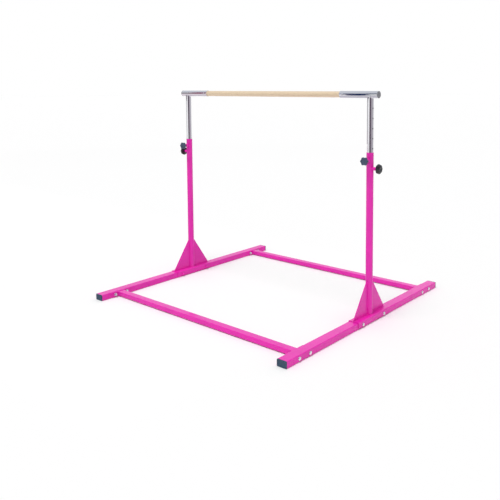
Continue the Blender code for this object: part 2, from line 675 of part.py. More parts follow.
def clamp_screws(steel, nylon, plastic):
    """Stud with a moulded lobed knob, and the pad that its tip presses on the inner post.
    z = 0 is the pad's face against the post, and Z points to the front."""
    stem_top = PAD_THICKNESS + STUD_SOCKET_DEPTH - SEAT_GAP
    stud_tip = PAD_THICKNESS + SEAT_GAP
    socket = clearance(PAD_STEM_DIAMETER)
    pad_face = INNER_RADIUS + SEAT_GAP
    back = CLAMP_KNOB_CENTRE - pad_face - CLAMP_KNOB_THICKNESS / 2
    hub = back - CLAMP_HUB_LENGTH
    stud_end = back + STUD_IN_KNOB
    pad = turned([(0, 0), (STUD_DIAMETER, 0), (STUD_DIAMETER, PAD_THICKNESS),
                  (PAD_STEM_DIAMETER, PAD_THICKNESS), (PAD_STEM_DIAMETER, stem_top),
                  (0, stem_top)], MEDIUM)
    stud = turned([(0, stud_tip + STUD_SOCKET_DEPTH), (socket, stud_tip + STUD_SOCKET_DEPTH),
                   (socket, stud_tip), (STUD_DIAMETER, stud_tip), (STUD_DIAMETER, stud_end),
                   (0, stud_end)], MEDIUM)
    grip = rounded_disc(CLAMP_KNOB_DIAMETER, back, back + CLAMP_KNOB_THICKNESS,
                        CLAMP_KNOB_BACK_EDGE, CLAMP_KNOB_FRONT_EDGE)
    knob = ([circle(CLAMP_HUB_DIAMETER, z, CLAMP_KNOB_FACETS) for z in (hub, back)]
            + lobed_stack(grip, CLAMP_KNOB_SCALLOP, CLAMP_KNOB_LOBES, CLAMP_KNOB_FACETS), False)
    bore = drill(clearance(STUD_DIAMETER), 2 * (stud_end + SEAT_GAP - hub), (0, -hub, 0), FRONT)
    for name, side in SIDES.items():
        axis = (side * HALF_SPACING, -pad_face, CLAMP_HEIGHT)
        screw = carrier(f"{name}_clamp_screw", axis)
        piece(f"{name}_clamp_pad", nylon, [laid(pad, aim=FRONT)], parent=screw)
        piece(f"{name}_clamp_stud", steel, [laid(stud, aim=FRONT)], parent=screw)
        carve(piece(f"{name}_clamp_knob", plastic, [laid(knob, aim=FRONT)], parent=screw), [bore])


def pin_housings(paint):
    """Welded housings for the locking pins. z = 0 is the post's axis."""
    hole = clearance(PIN_ROD_DIAMETER)
    root = OUTER_RADIUS / 2
    end = OUTER_RADIUS + SEAT_GAP + HOUSING_LENGTH
    floor = end - HOUSING_END_WALL
    edge = HOUSING_DIAMETER - 2 * BOSS_CHAMFER
    profile = turned([(HOUSING_BORE, root), (HOUSING_DIAMETER, root),
                      (HOUSING_DIAMETER, end - BOSS_CHAMFER), (edge, end),
                      (hole, end), (hole, floor), (HOUSING_BORE, floor)],
                     MEDIUM, closed=True)
    for name, side in SIDES.items():
        housing = piece(f"{name}_pin_housing", paint, [laid(profile, aim=OUT[side])],
                        (side * HALF_SPACING, 0, PIN_HEIGHT))
        carve(housing, [post_cope(HOUSING_DIAMETER)])


def collar_top():
    """Outer face of the pin's collar, from the post's axis."""
    return OUTER_RADIUS + 2 * SEAT_GAP + PIN_COLLAR_LENGTH


def pin_springs(steel):
    """Compression springs between the pins' collars and the housings' end walls."""
    low = collar_top() + SEAT_GAP
    high = OUTER_RADIUS + HOUSING_LENGTH - HOUSING_END_WALL
    rise = (high - low - SPRING_WIRE) / SPRING_TURNS
    steps = SPRING_TURNS * SPRING_POINTS_PER_TURN
    radius = SPRING_MEAN_DIAMETER / 2
    rings = []
    for i in range(steps + 1):
        angle = 2 * math.pi * i / SPRING_POINTS_PER_TURN
        out = Vector((math.cos(angle), math.sin(angle), 0))
        middle = radius * out + Vector((0, 0, low + SPRING_WIRE / 2 + rise * angle / 2 / math.pi))
        rings.append([middle + SPRING_WIRE / 2 * (math.cos(a) * out + Vector((0, 0, math.sin(a))))
                      for a in (2 * math.pi * j / SPRING_SIDES for j in range(SPRING_SIDES))])
    print(f"Least gap between the spring's turns: {(rise - SPRING_WIRE) * 1000:.2f} mm")
    for name, side in SIDES.items():
        piece(f"{name}_pin_spring", steel, [laid((rings, False), aim=OUT[side])],
              (side * HALF_SPACING, 0, PIN_HEIGHT))


def locking_pins(steel, plastic):
    """Sprung pins with mushroom pull knobs. z = 0 is the post's axis, and Z points outwards."""
    nose = INNER_RADIUS - INNER_WALL - PIN_REACH
    seat = OUTER_RADIUS + 2 * SEAT_GAP
    neck = OUTER_RADIUS + SEAT_GAP + HOUSING_LENGTH + PULL_KNOB_GAP
    back = neck + PULL_NECK_LENGTH
    rod_end = neck + PULL_ROD_IN_KNOB
    pin = turned([(PIN_DIAMETER - 2 * PIN_NOSE, nose), (PIN_DIAMETER, nose + PIN_NOSE),
                  (PIN_DIAMETER, seat), (PIN_COLLAR_DIAMETER, seat),
                  (PIN_COLLAR_DIAMETER, collar_top()), (PIN_ROD_DIAMETER, collar_top()),
                  (PIN_ROD_DIAMETER, rod_end)], MEDIUM)
    grip = rounded_disc(PULL_KNOB_DIAMETER, back, back + PULL_KNOB_THICKNESS,
                        PULL_KNOB_BACK_EDGE, PULL_KNOB_FRONT_EDGE)
    knob = ([circle(PULL_NECK_DIAMETER, z, PULL_KNOB_FACETS) for z in (neck, back)]
            + lobed_stack(grip, PULL_KNOB_SCALLOP, PULL_KNOB_LOBES, PULL_KNOB_FACETS), False)
    for name, side in SIDES.items():
        slide = carrier(f"{name}_locking_pin_slide", (side * HALF_SPACING, 0, PIN_HEIGHT))
        piece(f"{name}_locking_pin", steel, [laid(pin, aim=OUT[side])], parent=slide)
        grip_knob = piece(f"{name}_pull_knob", plastic, [laid(knob, aim=OUT[side])], parent=slide)
        carve(grip_knob, [drill(clearance(PIN_ROD_DIAMETER), 2 * (rod_end + SEAT_GAP - neck),
                                (side * neck, 0, 0), OUT[side])])


def main():
    for old in list(bpy.data.objects):
        bpy.data.objects.remove(old)
    pink = material("pink_paint", PINK, 0.35, 0.0)
    chrome = material("chrome", CHROME, 0.08, 1.0)
    zinc = material("zinc", ZINC, 0.30, 1.0)
    steel = material("steel", STEEL, 0.35, 1.0)
    navy = material("navy_plastic", NAVY_PLASTIC, 0.45, 0.0)
    black = material("black_plastic", BLACK_PLASTIC, 0.30, 0.0)
    grey = material("grey_plastic", GREY_PLASTIC, 0.45, 0.0)
    beech = material("beech", BEECH, 0.50, 0.0)
    fibreglass = material("fibreglass", FIBREGLASS, 0.45, 0.0)
    nylon = material("nylon", NYLON, 0.50, 0.0)

    side_rails(pink)
    rail_caps(navy)
    cross_tubes(pink)
    cross_fasteners(zinc)
    foot_bolts(zinc)
    foot_brackets(pink)
    outer_posts(pink)
    clamp_bosses(pink)
    pin_housings(pink)
    pin_springs(steel)

    bar = carrier("bar_carriage", (0, 0, BAR_HEIGHT))
    inner_posts(chrome, bar)
    sleeves(chrome, bar)
    sleeve_caps(grey, bar)
    sleeve_screws(zinc, bar)
    wooden_bar(beech, fibreglass, bar)

    clamp_screws(steel, nylon, navy)
    locking_pins(steel, black)


main()
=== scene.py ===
"""Looks of the height-adjustable gymnastics bar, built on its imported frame.

Metres, +Z up. X runs along the bar, and -Y is the front. Each piece takes its place and its
outer size from the node that it stands for.
"""
import math

import bmesh
import bpy
from mathutils import Matrix, Vector

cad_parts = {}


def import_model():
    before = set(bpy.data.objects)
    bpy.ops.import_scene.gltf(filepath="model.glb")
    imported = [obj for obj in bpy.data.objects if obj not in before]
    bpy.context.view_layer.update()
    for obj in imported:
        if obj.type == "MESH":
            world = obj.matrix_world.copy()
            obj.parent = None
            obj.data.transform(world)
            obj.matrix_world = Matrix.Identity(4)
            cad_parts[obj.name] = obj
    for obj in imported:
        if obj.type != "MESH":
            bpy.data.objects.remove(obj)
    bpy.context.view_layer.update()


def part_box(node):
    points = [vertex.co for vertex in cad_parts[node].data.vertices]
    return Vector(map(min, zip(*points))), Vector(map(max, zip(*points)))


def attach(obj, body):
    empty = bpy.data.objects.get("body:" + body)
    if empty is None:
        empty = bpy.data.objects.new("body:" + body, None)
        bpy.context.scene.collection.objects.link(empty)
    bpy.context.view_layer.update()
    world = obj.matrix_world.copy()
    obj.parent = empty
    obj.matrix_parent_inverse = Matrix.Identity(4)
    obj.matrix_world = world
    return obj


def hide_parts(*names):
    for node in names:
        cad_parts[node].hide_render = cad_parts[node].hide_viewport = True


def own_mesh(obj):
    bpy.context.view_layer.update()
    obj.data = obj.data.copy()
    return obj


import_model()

SIDES = {"left": -1, "right": 1}
ENDS = {"front": -1, "rear": 1}
SEAT_GAP = 0.0003             # what the solids leave between pieces that touch
CUT_PAST = 0.001              # how far a cutter goes past a surface

# Camera, fitted to the photograph's edges
IMAGE_WIDTH = 500
CAMERA_PLACE = (2.3225, -2.7016, 1.2043)
CAMERA_YAW = math.radians(40.423)       # from +Y towards -X
CAMERA_PITCH = math.radians(5.020)      # downwards
CAMERA_ROLL = math.radians(-0.343)
FOCAL_PIXELS = 631.9
PRINCIPAL_POINT = (271.7, 139.7)
SENSOR_WIDTH = 36.0                     # millimetres

# Light
FILL = 0.54                             # the world's light on the object
KEY = 1.62                              # sun's strength
KEY_FROM = (5, 72)                      # its azimuth and elevation, in degrees
KEY_SPREAD = 25                         # its width, in degrees

# Walls and corners of the tubes
RAIL_WALL = 0.0015
RAIL_CORNER = 0.004
CROSS_TALL = 0.025
CROSS_WIDE = 0.040
CROSS_WALL = 0.0015
CROSS_CORNER = 0.003
OUTER_WALL = 0.0015
INNER_WALL = 0.0015
SLEEVE_WALL = 0.002
SLEEVE_MOUTH = 0.0007
EDGE = 0.0004                 # softened edge of a sawn or drilled piece

# Caps of the rails and sleeves
CAP_EDGE = 0.0012
CAP_SHOULDER = 0.0025         # from a sleeve cap's rim to its plug
CAP_BORDER = 0.0050
CAP_RECESS = 0.0014
CAP_CORNER = 0.0008           # least corner of a rail cap
CAP_PLUG_INSET = RAIL_WALL + 0.0008

# End plates, feet and webs
PLATE_THICKNESS = 0.003
PLATE_CORNER = 0.005
PLATE_EDGE = 0.0006           # softened edge of a plate
WELD_SINK = 0.0005            # how far a welded part is let into the next one
FOOT_PLATE = 0.003
FOOT_BEND = 0.003
WEB_THICKNESS = 0.004
WEB_NOSE = 0.004
WEB_TOE = 0.006
WEB_HEIGHT = 0.180

# Fasteners
BOLT_SHANK = 0.008
BOLT_HEAD_TALL = 0.0045
HEAD_RIM = 0.001              # straight edge under a domed head
RIM_EASE = 0.0003             # eased edge where a rim sits
NUT_ACROSS_FLATS = 0.013
NUT_FLANGE = 0.0016
NUT_HEX_TOP = 0.0065
NUT_DOME = 0.0055
NUT_CHAMFER = 0.0007
SCREW_SHANK = 0.004
SCREW_HOLE = 0.0046
SCREW_RIM = 0.0009
SCREW_FACETS = 40
CROSS_RECESS = 0.0045         # screw's cross, tip to tip
CROSS_RECESS_WIDTH = 0.0011
CROSS_RECESS_DEPTH = 0.0012

# Height holes, cut in the inner posts
HOLE_DIAMETER = 0.0086
HOLE_SPACING = 0.050
HOLE_COUNT = 14
FIRST_HOLE_DROP = 0.0675
HOLE_BEVEL = 0.0006
HOLE_FACETS = 32

# Clamp and locking pin
STUD_THREAD_PITCH = 0.0015
STUD_THREAD_DEPTH = 0.0008
STUD_RUN_OUT = 0.002
BOSS_WALL = 0.0046
MOUTH_EDGE = 0.0012           # rounded edge of a boss or a housing
CLAMP_LOBES = 6
CLAMP_SCALLOP = 0.0035
CLAMP_HUB = 0.018
CLAMP_HUB_BORE = 0.0106
CLAMP_HUB_LENGTH = 0.007
CLAMP_BACK_EDGE = (0.0025, 0.0025)      # a rounded edge, across and along the axis
CLAMP_FRONT_EDGE = (0.0055, 0.0045)
CLAMP_FACETS = 120
PAD_THICKNESS = 0.003
PAD_STEM = 0.004
PULL_LOBES = 8
PULL_SCALLOP = 0.0018
PULL_NECK = 0.013
PULL_NECK_LENGTH = 0.00575
PULL_BACK_EDGE = (0.0060, 0.0040)
PULL_FRONT_EDGE = (0.0130, 0.0095)
PULL_FACETS = 128
PIN_DIAMETER = 0.008
PIN_NOSE = 0.0015
PIN_ROD = 0.0065
PIN_COLLAR = 0.002
HOUSING_BORE = 0.013
HOUSING_END = 0.003
SPRING_WIRE = 0.0008
SPRING_TURNS = 4
SPRING_STEPS = 32             # a turn
SPRING_SIDES = 10

# Wooden bar
BAR_EASE = 0.0010             # eased edge at each end
BAR_ROWS = 24

# Weld beads
BEAD_FINE = 0.0011            # radii of the beads
BEAD_SMALL = 0.0016
BEAD_MEDIUM = 0.0022
BEAD_RIPPLE = 0.0026          # from one ripple of a bead to the next
BEAD_END = 0.001              # from a corner to where a bead ends
BEAD_SIDES = 10

# Facets
ROUND = 96
MEDIUM = 48
SMALL = 24
CORNER_STEPS = 8
FLAT_MARGIN = 0.0004          # from a corner's end to the point that keeps the flat flat
SHARP_DEGREES = 32

# Turns from local Z to where a piece points
UP = Matrix.Identity(4)
DOWN = Matrix.Rotation(math.pi, 4, "X")
ALONG_POST = Matrix.Rotation(math.pi / 2, 4, "Z")     # brings local X onto an upright axis
FRONT = Matrix.Rotation(math.pi / 2, 4, "X")
REAR = Matrix.Rotation(-math.pi / 2, 4, "X")
OUT = {side: Matrix.Rotation(side * math.pi / 2, 4, "Y") for side in SIDES.values()}


class Place:
    """A node's box: its corners, middle and size."""

    def __init__(self, node):
        self.node = node
        self.low, self.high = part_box(node)
        self.middle = (self.low + self.high) / 2
        self.size = self.high - self.low

    def outer(self, way, axis="x"):
        """Where it ends on an axis, on the side that the way says."""
        return getattr(self.high if way > 0 else self.low, axis)

    def inner(self, way):
        """Where its other end is."""
        return self.outer(-way)

    def at(self, **values):
        """The middle with some of its x, y and z set."""
        return tuple(values.get(axis, getattr(self.middle, axis)) for axis in "xyz")


# Shader helpers

def new_material(name, colour, roughness, metallic=0.0, coat=0.0):
    made = bpy.data.materials.new(name)
    made.use_nodes = True
    shader = made.node_tree.nodes["Principled BSDF"]
    shader.inputs["Base Color"].default_value = (*colour, 1.0)
    shader.inputs["Roughness"].default_value = roughness
    shader.inputs["Metallic"].default_value = metallic
    shader.inputs["Coat Weight"].default_value = coat
    return made, made.node_tree, shader


def add(tree, kind, **values):
    """A node with its inputs or properties set by name."""
    node = tree.nodes.new(kind)
    for key, value in values.items():
        name = key.replace("_", " ")
        if name in node.inputs:
            node.inputs[name].default_value = value
        else:
            setattr(node, key, value)
    return node


def place_in(tree, stretch):
    """Object coordinates, stretched by a factor along each axis."""
    where = add(tree, "ShaderNodeTexCoord")
    mapping = add(tree, "ShaderNodeMapping")
    mapping.inputs["Scale"].default_value = stretch
    tree.links.new(where.outputs["Object"], mapping.inputs["Vector"])
    return mapping.outputs["Vector"]


def noise(tree, scale, detail, stretch=(1, 1, 1), roughness=0.5):
    made = add(tree, "ShaderNodeTexNoise", Scale=scale, Detail=detail, Roughness=roughness)
    tree.links.new(place_in(tree, stretch), made.inputs["Vector"])
    return made.outputs["Fac"]


def ramp(tree, source, stops):
    """Colours or greys at positions of a 0 to 1 value."""
    made = add(tree, "ShaderNodeValToRGB")
    elements = made.color_ramp.elements
    while len(elements) < len(stops):
        elements.new(0.5)
    for element, (spot, colour) in zip(elements, stops):
        element.position = spot
        element.color = (*colour, 1.0) if isinstance(colour, tuple) else (colour,) * 3 + (1.0,)
    tree.links.new(source, made.inputs["Fac"])
    return made.outputs["Color"]


def bump(tree, shader, sources):
    """Bump from (height, strength, distance) sources, one on top of the other."""
    below = None
    for height, strength, distance in sources:
        made = add(tree, "ShaderNodeBump", Strength=strength, Distance=distance)
        tree.links.new(height, made.inputs["Height"])
        if below:
            tree.links.new(below, made.inputs["Normal"])
        below = made.outputs["Normal"]
    tree.links.new(below, shader.inputs["Normal"])


def vary(tree, shader, socket, source, stops):
    """Drive one of the shader's sockets by a ramp over a 0 to 1 value."""
    tree.links.new(ramp(tree, source, stops), shader.inputs[socket])


def shade(colour, factor):
    return tuple(min(1.0, part * factor) for part in colour)


# Materials

def powder_coat():
    """Glossy pink powder coat: orange peel, faint cloudiness and a fine grain."""
    pink = (0.85, 0.017, 0.455)
    made, tree, shader = new_material("pink_powder_coat", pink, 0.34, coat=0.30)
    shader.inputs["Specular IOR Level"].default_value = 0.25
    shader.inputs["Coat Roughness"].default_value = 0.10
    vary(tree, shader, "Base Color", noise(tree, 9.0, 3.0),
         [(0.30, shade(pink, 0.93)), (0.70, shade(pink, 1.05))])
    vary(tree, shader, "Roughness", noise(tree, 60.0, 4.0), [(0.30, 0.28), (0.75, 0.42)])
    bump(tree, shader, [(noise(tree, 420.0, 2.0), 0.10, 0.0006),
                        (noise(tree, 1900.0, 1.0), 0.05, 0.0002)])
    return made


def chrome():
    """Bright chrome plate with faint polishing lines along the tube and light smudges."""
    bright = (0.80, 0.80, 0.83)
    made, tree, shader = new_material("chrome_plate", bright, 0.07, metallic=1.0)
    smudge = noise(tree, 14.0, 5.0, roughness=0.6)
    vary(tree, shader, "Roughness", smudge, [(0.35, 0.03), (0.72, 0.09)])
    vary(tree, shader, "Base Color", noise(tree, 5.0, 2.0),
         [(0.3, shade(bright, 0.96)), (0.7, shade(bright, 1.03))])
    lines = noise(tree, 900.0, 2.0, stretch=(0.03, 1, 0.03))
    bump(tree, shader, [(lines, 0.02, 0.0002)])
    return made


def zinc():
    """Bright zinc plate with a slightly uneven, bluish tone."""
    pale = (0.80, 0.79, 0.82)
    made, tree, shader = new_material("zinc_plate", pale, 0.24, metallic=1.0)
    spots = noise(tree, 260.0, 3.0)
    vary(tree, shader, "Base Color", spots, [(0.35, shade(pale, 0.88)), (0.65, pale)])
    vary(tree, shader, "Roughness", spots, [(0.30, 0.18), (0.70, 0.32)])
    bump(tree, shader, [(noise(tree, 1100.0, 2.0), 0.08, 0.0002)])
    return made


def steel():
    """Turned steel with a faint mottle and a fine grain."""
    grey = (0.50, 0.50, 0.52)
    made, tree, shader = new_material("turned_steel", grey, 0.32, metallic=1.0)
    mottle = noise(tree, 180.0, 3.0)
    vary(tree, shader, "Base Color", mottle,
         [(0.35, shade(grey, 0.82)), (0.65, shade(grey, 1.08))])
    vary(tree, shader, "Roughness", mottle, [(0.3, 0.25), (0.7, 0.40)])
    bump(tree, shader, [(noise(tree, 2400.0, 1.0), 0.06, 0.0001)])
    return made


def moulded(name, colour, roughness, grain):
    """Moulded plastic with a fine spark-eroded grain."""
    made, tree, shader = new_material(name, colour, roughness)
    vary(tree, shader, "Base Color", noise(tree, 35.0, 3.0),
         [(0.3, shade(colour, 0.85)), (0.7, shade(colour, 1.18))])
    vary(tree, shader, "Roughness", noise(tree, 110.0, 4.0),
         [(0.3, roughness - 0.08), (0.7, roughness + 0.08)])
    bump(tree, shader, [(noise(tree, grain, 2.0), 0.18, 0.0002)])
    return made


def beech():
    """Sanded beech with long grain, soft growth bands and short dark flecks along the bar."""
    pale, warm, fleck = (0.79, 0.635, 0.45), (0.69, 0.525, 0.34), (0.42, 0.27, 0.15)
    made, tree, shader = new_material("beech", pale, 0.46, coat=0.05)
    shader.inputs["Coat Roughness"].default_value = 0.3
    bands = noise(tree, 120.0, 4.0, stretch=(0.02, 1, 1))
    grain = noise(tree, 900.0, 5.0, stretch=(0.012, 1, 1), roughness=0.65)
    flecks = noise(tree, 700.0, 1.0, stretch=(0.09, 1, 1))
    base = ramp(tree, bands, [(0.32, warm), (0.62, pale)])
    fine = ramp(tree, grain, [(0.30, shade(warm, 0.90)), (0.60, shade(pale, 1.06))])
    mixed = add(tree, "ShaderNodeMix", data_type="RGBA")
    mixed.inputs["Factor"].default_value = 0.45
    tree.links.new(base, mixed.inputs["A"])
    tree.links.new(fine, mixed.inputs["B"])
    marked = add(tree, "ShaderNodeMix", data_type="RGBA")
    tree.links.new(ramp(tree, flecks, [(0.66, 0.0), (0.74, 0.55)]), marked.inputs["Factor"])
    tree.links.new(mixed.outputs["Result"], marked.inputs["A"])
    marked.inputs["B"].default_value = (*fleck, 1.0)
    tree.links.new(marked.outputs["Result"], shader.inputs["Base Color"])
    vary(tree, shader, "Roughness", grain, [(0.3, 0.52), (0.7, 0.40)])
    bump(tree, shader, [(grain, 0.10, 0.0003)])
    return made


# Finishes: a material and the name of a slot
PINK = (powder_coat(), "pink_paint")
CHROME = (chrome(), "chrome")
ZINC = (zinc(), "zinc")
STEEL = (steel(), "steel")
NAVY = (moulded("navy_plastic", (0.014, 0.048, 0.098), 0.42, 1500.0), "navy_plastic")
# The caps' navy plastic, painted lighter for the clamp knobs: painted light that stands for the
# brighter light and sheen on the knobs' faces.
LIT_NAVY = (moulded("navy_plastic_painted_lighter", (0.042, 0.070, 0.125), 0.40, 1500.0), "navy_plastic")
BLACK = (moulded("black_plastic", (0.010, 0.012, 0.018), 0.24, 1300.0), "black_plastic")
GREY = (moulded("grey_plastic", (0.22, 0.22, 0.24), 0.45, 1500.0), "grey_plastic")
FIBREGLASS = (moulded("fibreglass", (0.75, 0.72, 0.58), 0.45, 2500.0), "fibreglass")
NYLON = (moulded("nylon", (0.85, 0.85, 0.80), 0.50, 1500.0), "nylon")
WOOD = (beech(), "beech")


# Mesh helpers

def round_turns(count):
    return [2 * math.pi * i / count for i in range(count)]


def quarter_turns(steps):
    return [math.pi / 2 * i / steps for i in range(steps + 1)]


def ring_of(z, segments, reach):
    """Points round the axis at height z. The reach gives the radius at an angle and a height."""
    return [Vector((reach(a, z) * math.cos(a), reach(a, z) * math.sin(a), z))
            for a in round_turns(segments)]


def circle(diameter, z, segments):
    return ring_of(z, segments, lambda a, _: diameter / 2)


def lobed(diameter, scallop, lobes, z, segments):
    """A circle whose rim is drawn in between its lobes."""
    return ring_of(z, segments,
                   lambda a, _: diameter / 2 - scallop * (1 - math.cos(lobes * a)) / 2)


def hexagon(across_flats, z, segments):
    """A hexagon with its corners on the points of a circle of as many segments."""
    return ring_of(z, segments,
                   lambda a, _: across_flats / 2 / math.cos(a % (math.pi / 3) - math.pi / 6))


def rounded_rectangle(width, height, corner, z, steps=CORNER_STEPS):
    """Rounded rectangle in the plane at height z, anticlockwise from its right side. A point
    beside each end of a corner keeps the flats shaded flat."""
    points = []
    for number, (sx, sy) in enumerate(((1, 1), (-1, 1), (-1, -1), (1, -1))):
        middle = Vector((sx * (width / 2 - corner), sy * (height / 2 - corner), z))
        arc = []
        for step in range(steps + 1):
            angle = (number + step / steps) * math.pi / 2
            arc.append(middle + corner * Vector((math.cos(angle), math.sin(angle), 0)))
        before, after = Vector((0, -sy, 0)), Vector((-sx, 0, 0))
        if number % 2:
            before, after = after, before
        points += [arc[0] + FLAT_MARGIN * before] + arc + [arc[-1] + FLAT_MARGIN * after]
    return points


def apex(z):
    """A ring drawn in to one point on the axis."""
    return [Vector((0.0, 0.0, z))]


def skin(bm, rings, closed):
    """Skin a stack of rings. A closed stack joins its last ring to its first."""
    rows = [[bm.verts.new(point) for point in ring] for ring in rings]
    pairs = list(zip(rows, rows[1:]))
    if closed:
        pairs.append((rows[-1], rows[0]))
    else:
        for row in (rows[0], rows[-1]):
            if len(row) > 1:
                bm.faces.new(row)
    for low, high in pairs:
        count = max(len(low), len(high))
        for i in range(count):
            j = (i + 1) % count
            if len(low) == 1:
                bm.faces.new((low[0], high[j], high[i]))
            elif len(high) == 1:
                bm.faces.new((low[i], low[j], high[0]))
            else:
                bm.faces.new((low[i], low[j], high[j], high[i]))


def moved(points, spot=(0, 0, 0), aim=UP):
    """The points with their local Z turned to the aim and their origin at the spot."""
    move = Matrix.Translation(spot) @ aim
    return [move @ point for point in points]


def laid(stack, spot, aim=UP):
    rings, closed = stack
    return ([moved(ring, spot, aim) for ring in rings], closed)


def rings_of(steps, segments):
    """Circles from (diameter, z) steps. A diameter of 0 is a point on the axis."""
    return [circle(d, z, segments) if d > 0 else apex(z) for d, z in steps]


def turned(steps, segments=ROUND, closed=False):
    return (rings_of(steps, segments), closed)


def quarter(start, end, steps):
    """Points of a quarter of an ellipse from start to end, leaving start along the axis: the
    first values are diameters and the second ones are along the axis."""
    return [(end[0] + (start[0] - end[0]) * math.cos(a),
             start[1] + (end[1] - start[1]) * math.sin(a)) for a in quarter_turns(steps)]


def dome(diameter, rim, top, steps):
    """Steps of a domed crown from above its rim up to its apex, in (diameter, z)."""
    return [(diameter * math.sin(a), rim + (top - rim) * math.cos(a))
            for a in quarter_turns(steps)[-2::-1]]


def mesh_of(name, stacks):
    bm = bmesh.new()
    for rings, closed in stacks:
        skin(bm, rings, closed)
    bmesh.ops.recalc_face_normals(bm, faces=bm.faces)
    mesh = bpy.data.meshes.new(name)
    bm.to_mesh(mesh)
    bm.free()
    return mesh


def link(made):
    bpy.context.scene.collection.objects.link(made)


def cut(target, stacks):
    """Cut the stacks out of the target and apply the cut."""
    tool = bpy.data.objects.new(f"{target.name}.tool", mesh_of("tool", stacks))
    link(tool)
    change = target.modifiers.new("Cut", "BOOLEAN")
    change.operation = "DIFFERENCE"
    change.solver = "EXACT"
    change.object = tool
    depsgraph = bpy.context.evaluated_depsgraph_get()
    made = bpy.data.meshes.new_from_object(target.evaluated_get(depsgraph))
    target.modifiers.clear()
    target.data = made
    bpy.data.objects.remove(tool)


def shaded(mesh):
    mesh.shade_smooth()
    mesh.set_sharp_from_angle(angle=math.radians(SHARP_DEGREES))


def piece(spot, finish, body, stacks, *cuts):
    """A piece that stands for the node of its place and rides on its body. Each of the cuts is a
    list of stacks that are cut out together."""
    name = spot.node
    material, slot = finish
    made = bpy.data.objects.new(f"{name}_look", mesh_of(name, stacks))
    link(made)
    for tools in cuts:
        cut(made, tools)
    made.data.materials.clear()
    made.data.materials.append(material)
    shaded(made.data)
    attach(made, body)
    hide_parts(name)
    return made


def join(made, stacks):
    """Add stacks to a piece that is already cut."""
    bm = bmesh.new()
    bm.from_mesh(made.data)
    extra = mesh_of("extra", stacks)
    bm.from_mesh(extra)
    bm.to_mesh(made.data)
    bm.free()
    bpy.data.meshes.remove(extra)
    shaded(made.data)


def tube(width, height, corner, wall, low, high):
    """Rectangular tube from low to high along Z, with its sawn edges softened."""

    def ring(inset, round_by, z):
        return rounded_rectangle(width - 2 * inset, height - 2 * inset, round_by, z)

    return ([ring(0, corner, low + EDGE), ring(0, corner, high - EDGE),
             ring(EDGE, corner - EDGE, high), ring(wall, corner - wall, high),
             ring(wall, corner - wall, low), ring(EDGE, corner - EDGE, low)], True)


def pipe(diameter, wall, low, high):
    """Round tube from low to high along Z, with its sawn edges softened."""
    bore = diameter - 2 * wall
    return turned([(diameter, low + EDGE), (diameter, high - EDGE), (diameter - 2 * EDGE, high),
                   (bore, high), (bore, low), (diameter - 2 * EDGE, low)], closed=True)


def drill(diameter, depth, spot, aim, bevel=0.0, segments=SMALL):
    """A cutter whose mouth is flared by the bevel at the surface, which the spot is on."""
    steps = [(diameter, -depth), (diameter, -bevel)]
    if bevel:
        steps += [(diameter + 2 * bevel, 0)]
    steps += [(steps[-1][0] + 2 * bevel, bevel + CUT_PAST)]
    return laid(turned(steps, segments), spot, aim)


def bead(path, radius, closed=False):
    """A weld bead along a path, with the ripples that the torch leaves."""
    points = spaced(path, BEAD_RIPPLE / 4, closed)
    count = len(points)
    rings = []
    for i, point in enumerate(points):
        before = points[i - 1] if closed or i else points[0]
        after = points[(i + 1) % count] if closed or i < count - 1 else points[-1]
        along = (after - before).normalized()
        across = along.orthogonal().normalized() if not rings else turned_across(along, across)
        over = along.cross(across).normalized()
        phase = math.pi * (i % 4) / 4
        swell = radius * (0.86 + 0.14 * math.sin(phase) + 0.04 * math.sin(i * 0.71))
        if not closed and i in (0, count - 1):
            swell *= 0.55
        rings.append([point + swell * (math.cos(a) * across + math.sin(a) * over)
                      for a in round_turns(BEAD_SIDES)])
    return (rings, closed)


def turned_across(along, across):
    """The last ring's across direction, brought square to the new direction."""
    return (across - across.dot(along) * along).normalized()


def spaced(path, step, closed):
    """Points at about even steps along a path of straight stretches."""
    ends = path + [path[0]] if closed else path
    lengths = [(b - a).length for a, b in zip(ends, ends[1:])]
    total = sum(lengths)
    count = max(4, round(total / step))
    spots = [total * i / count for i in range(count if closed else count + 1)]
    points = []
    for spot in spots:
        index = 0
        while index < len(lengths) - 1 and spot > lengths[index]:
            spot -= lengths[index]
            index += 1
        points.append(ends[index].lerp(ends[index + 1], min(1.0, spot / lengths[index])))
    return points


def ring_bead(diameter, radius, spot, aim):
    """A weld bead round the foot of a round piece."""
    return bead(moved(circle(diameter, 0, MEDIUM), spot, aim), radius, closed=True)


def saddle(diameter, crossed, aim):
    """The curve where a round piece of a diameter meets one that it crosses at a right angle.
    The piece's axis is the aim's Z, and the other's axis is the aim's X."""
    return moved([Vector((p.x, p.y, math.sqrt((crossed / 2) ** 2 - p.y ** 2)))
                  for p in circle(diameter, 0, ROUND)], aim=aim)


# Floor frame: rails, caps, cross tubes and their fasteners

def side_rails():
    for name in SIDES:
        spot = Place(f"{name}_rail")
        half = spot.size.y / 2
        piece(spot, PINK, "frame",
              [laid(tube(spot.size.x, spot.size.z, RAIL_CORNER, RAIL_WALL, -half, half),
                    spot.middle, FRONT)])


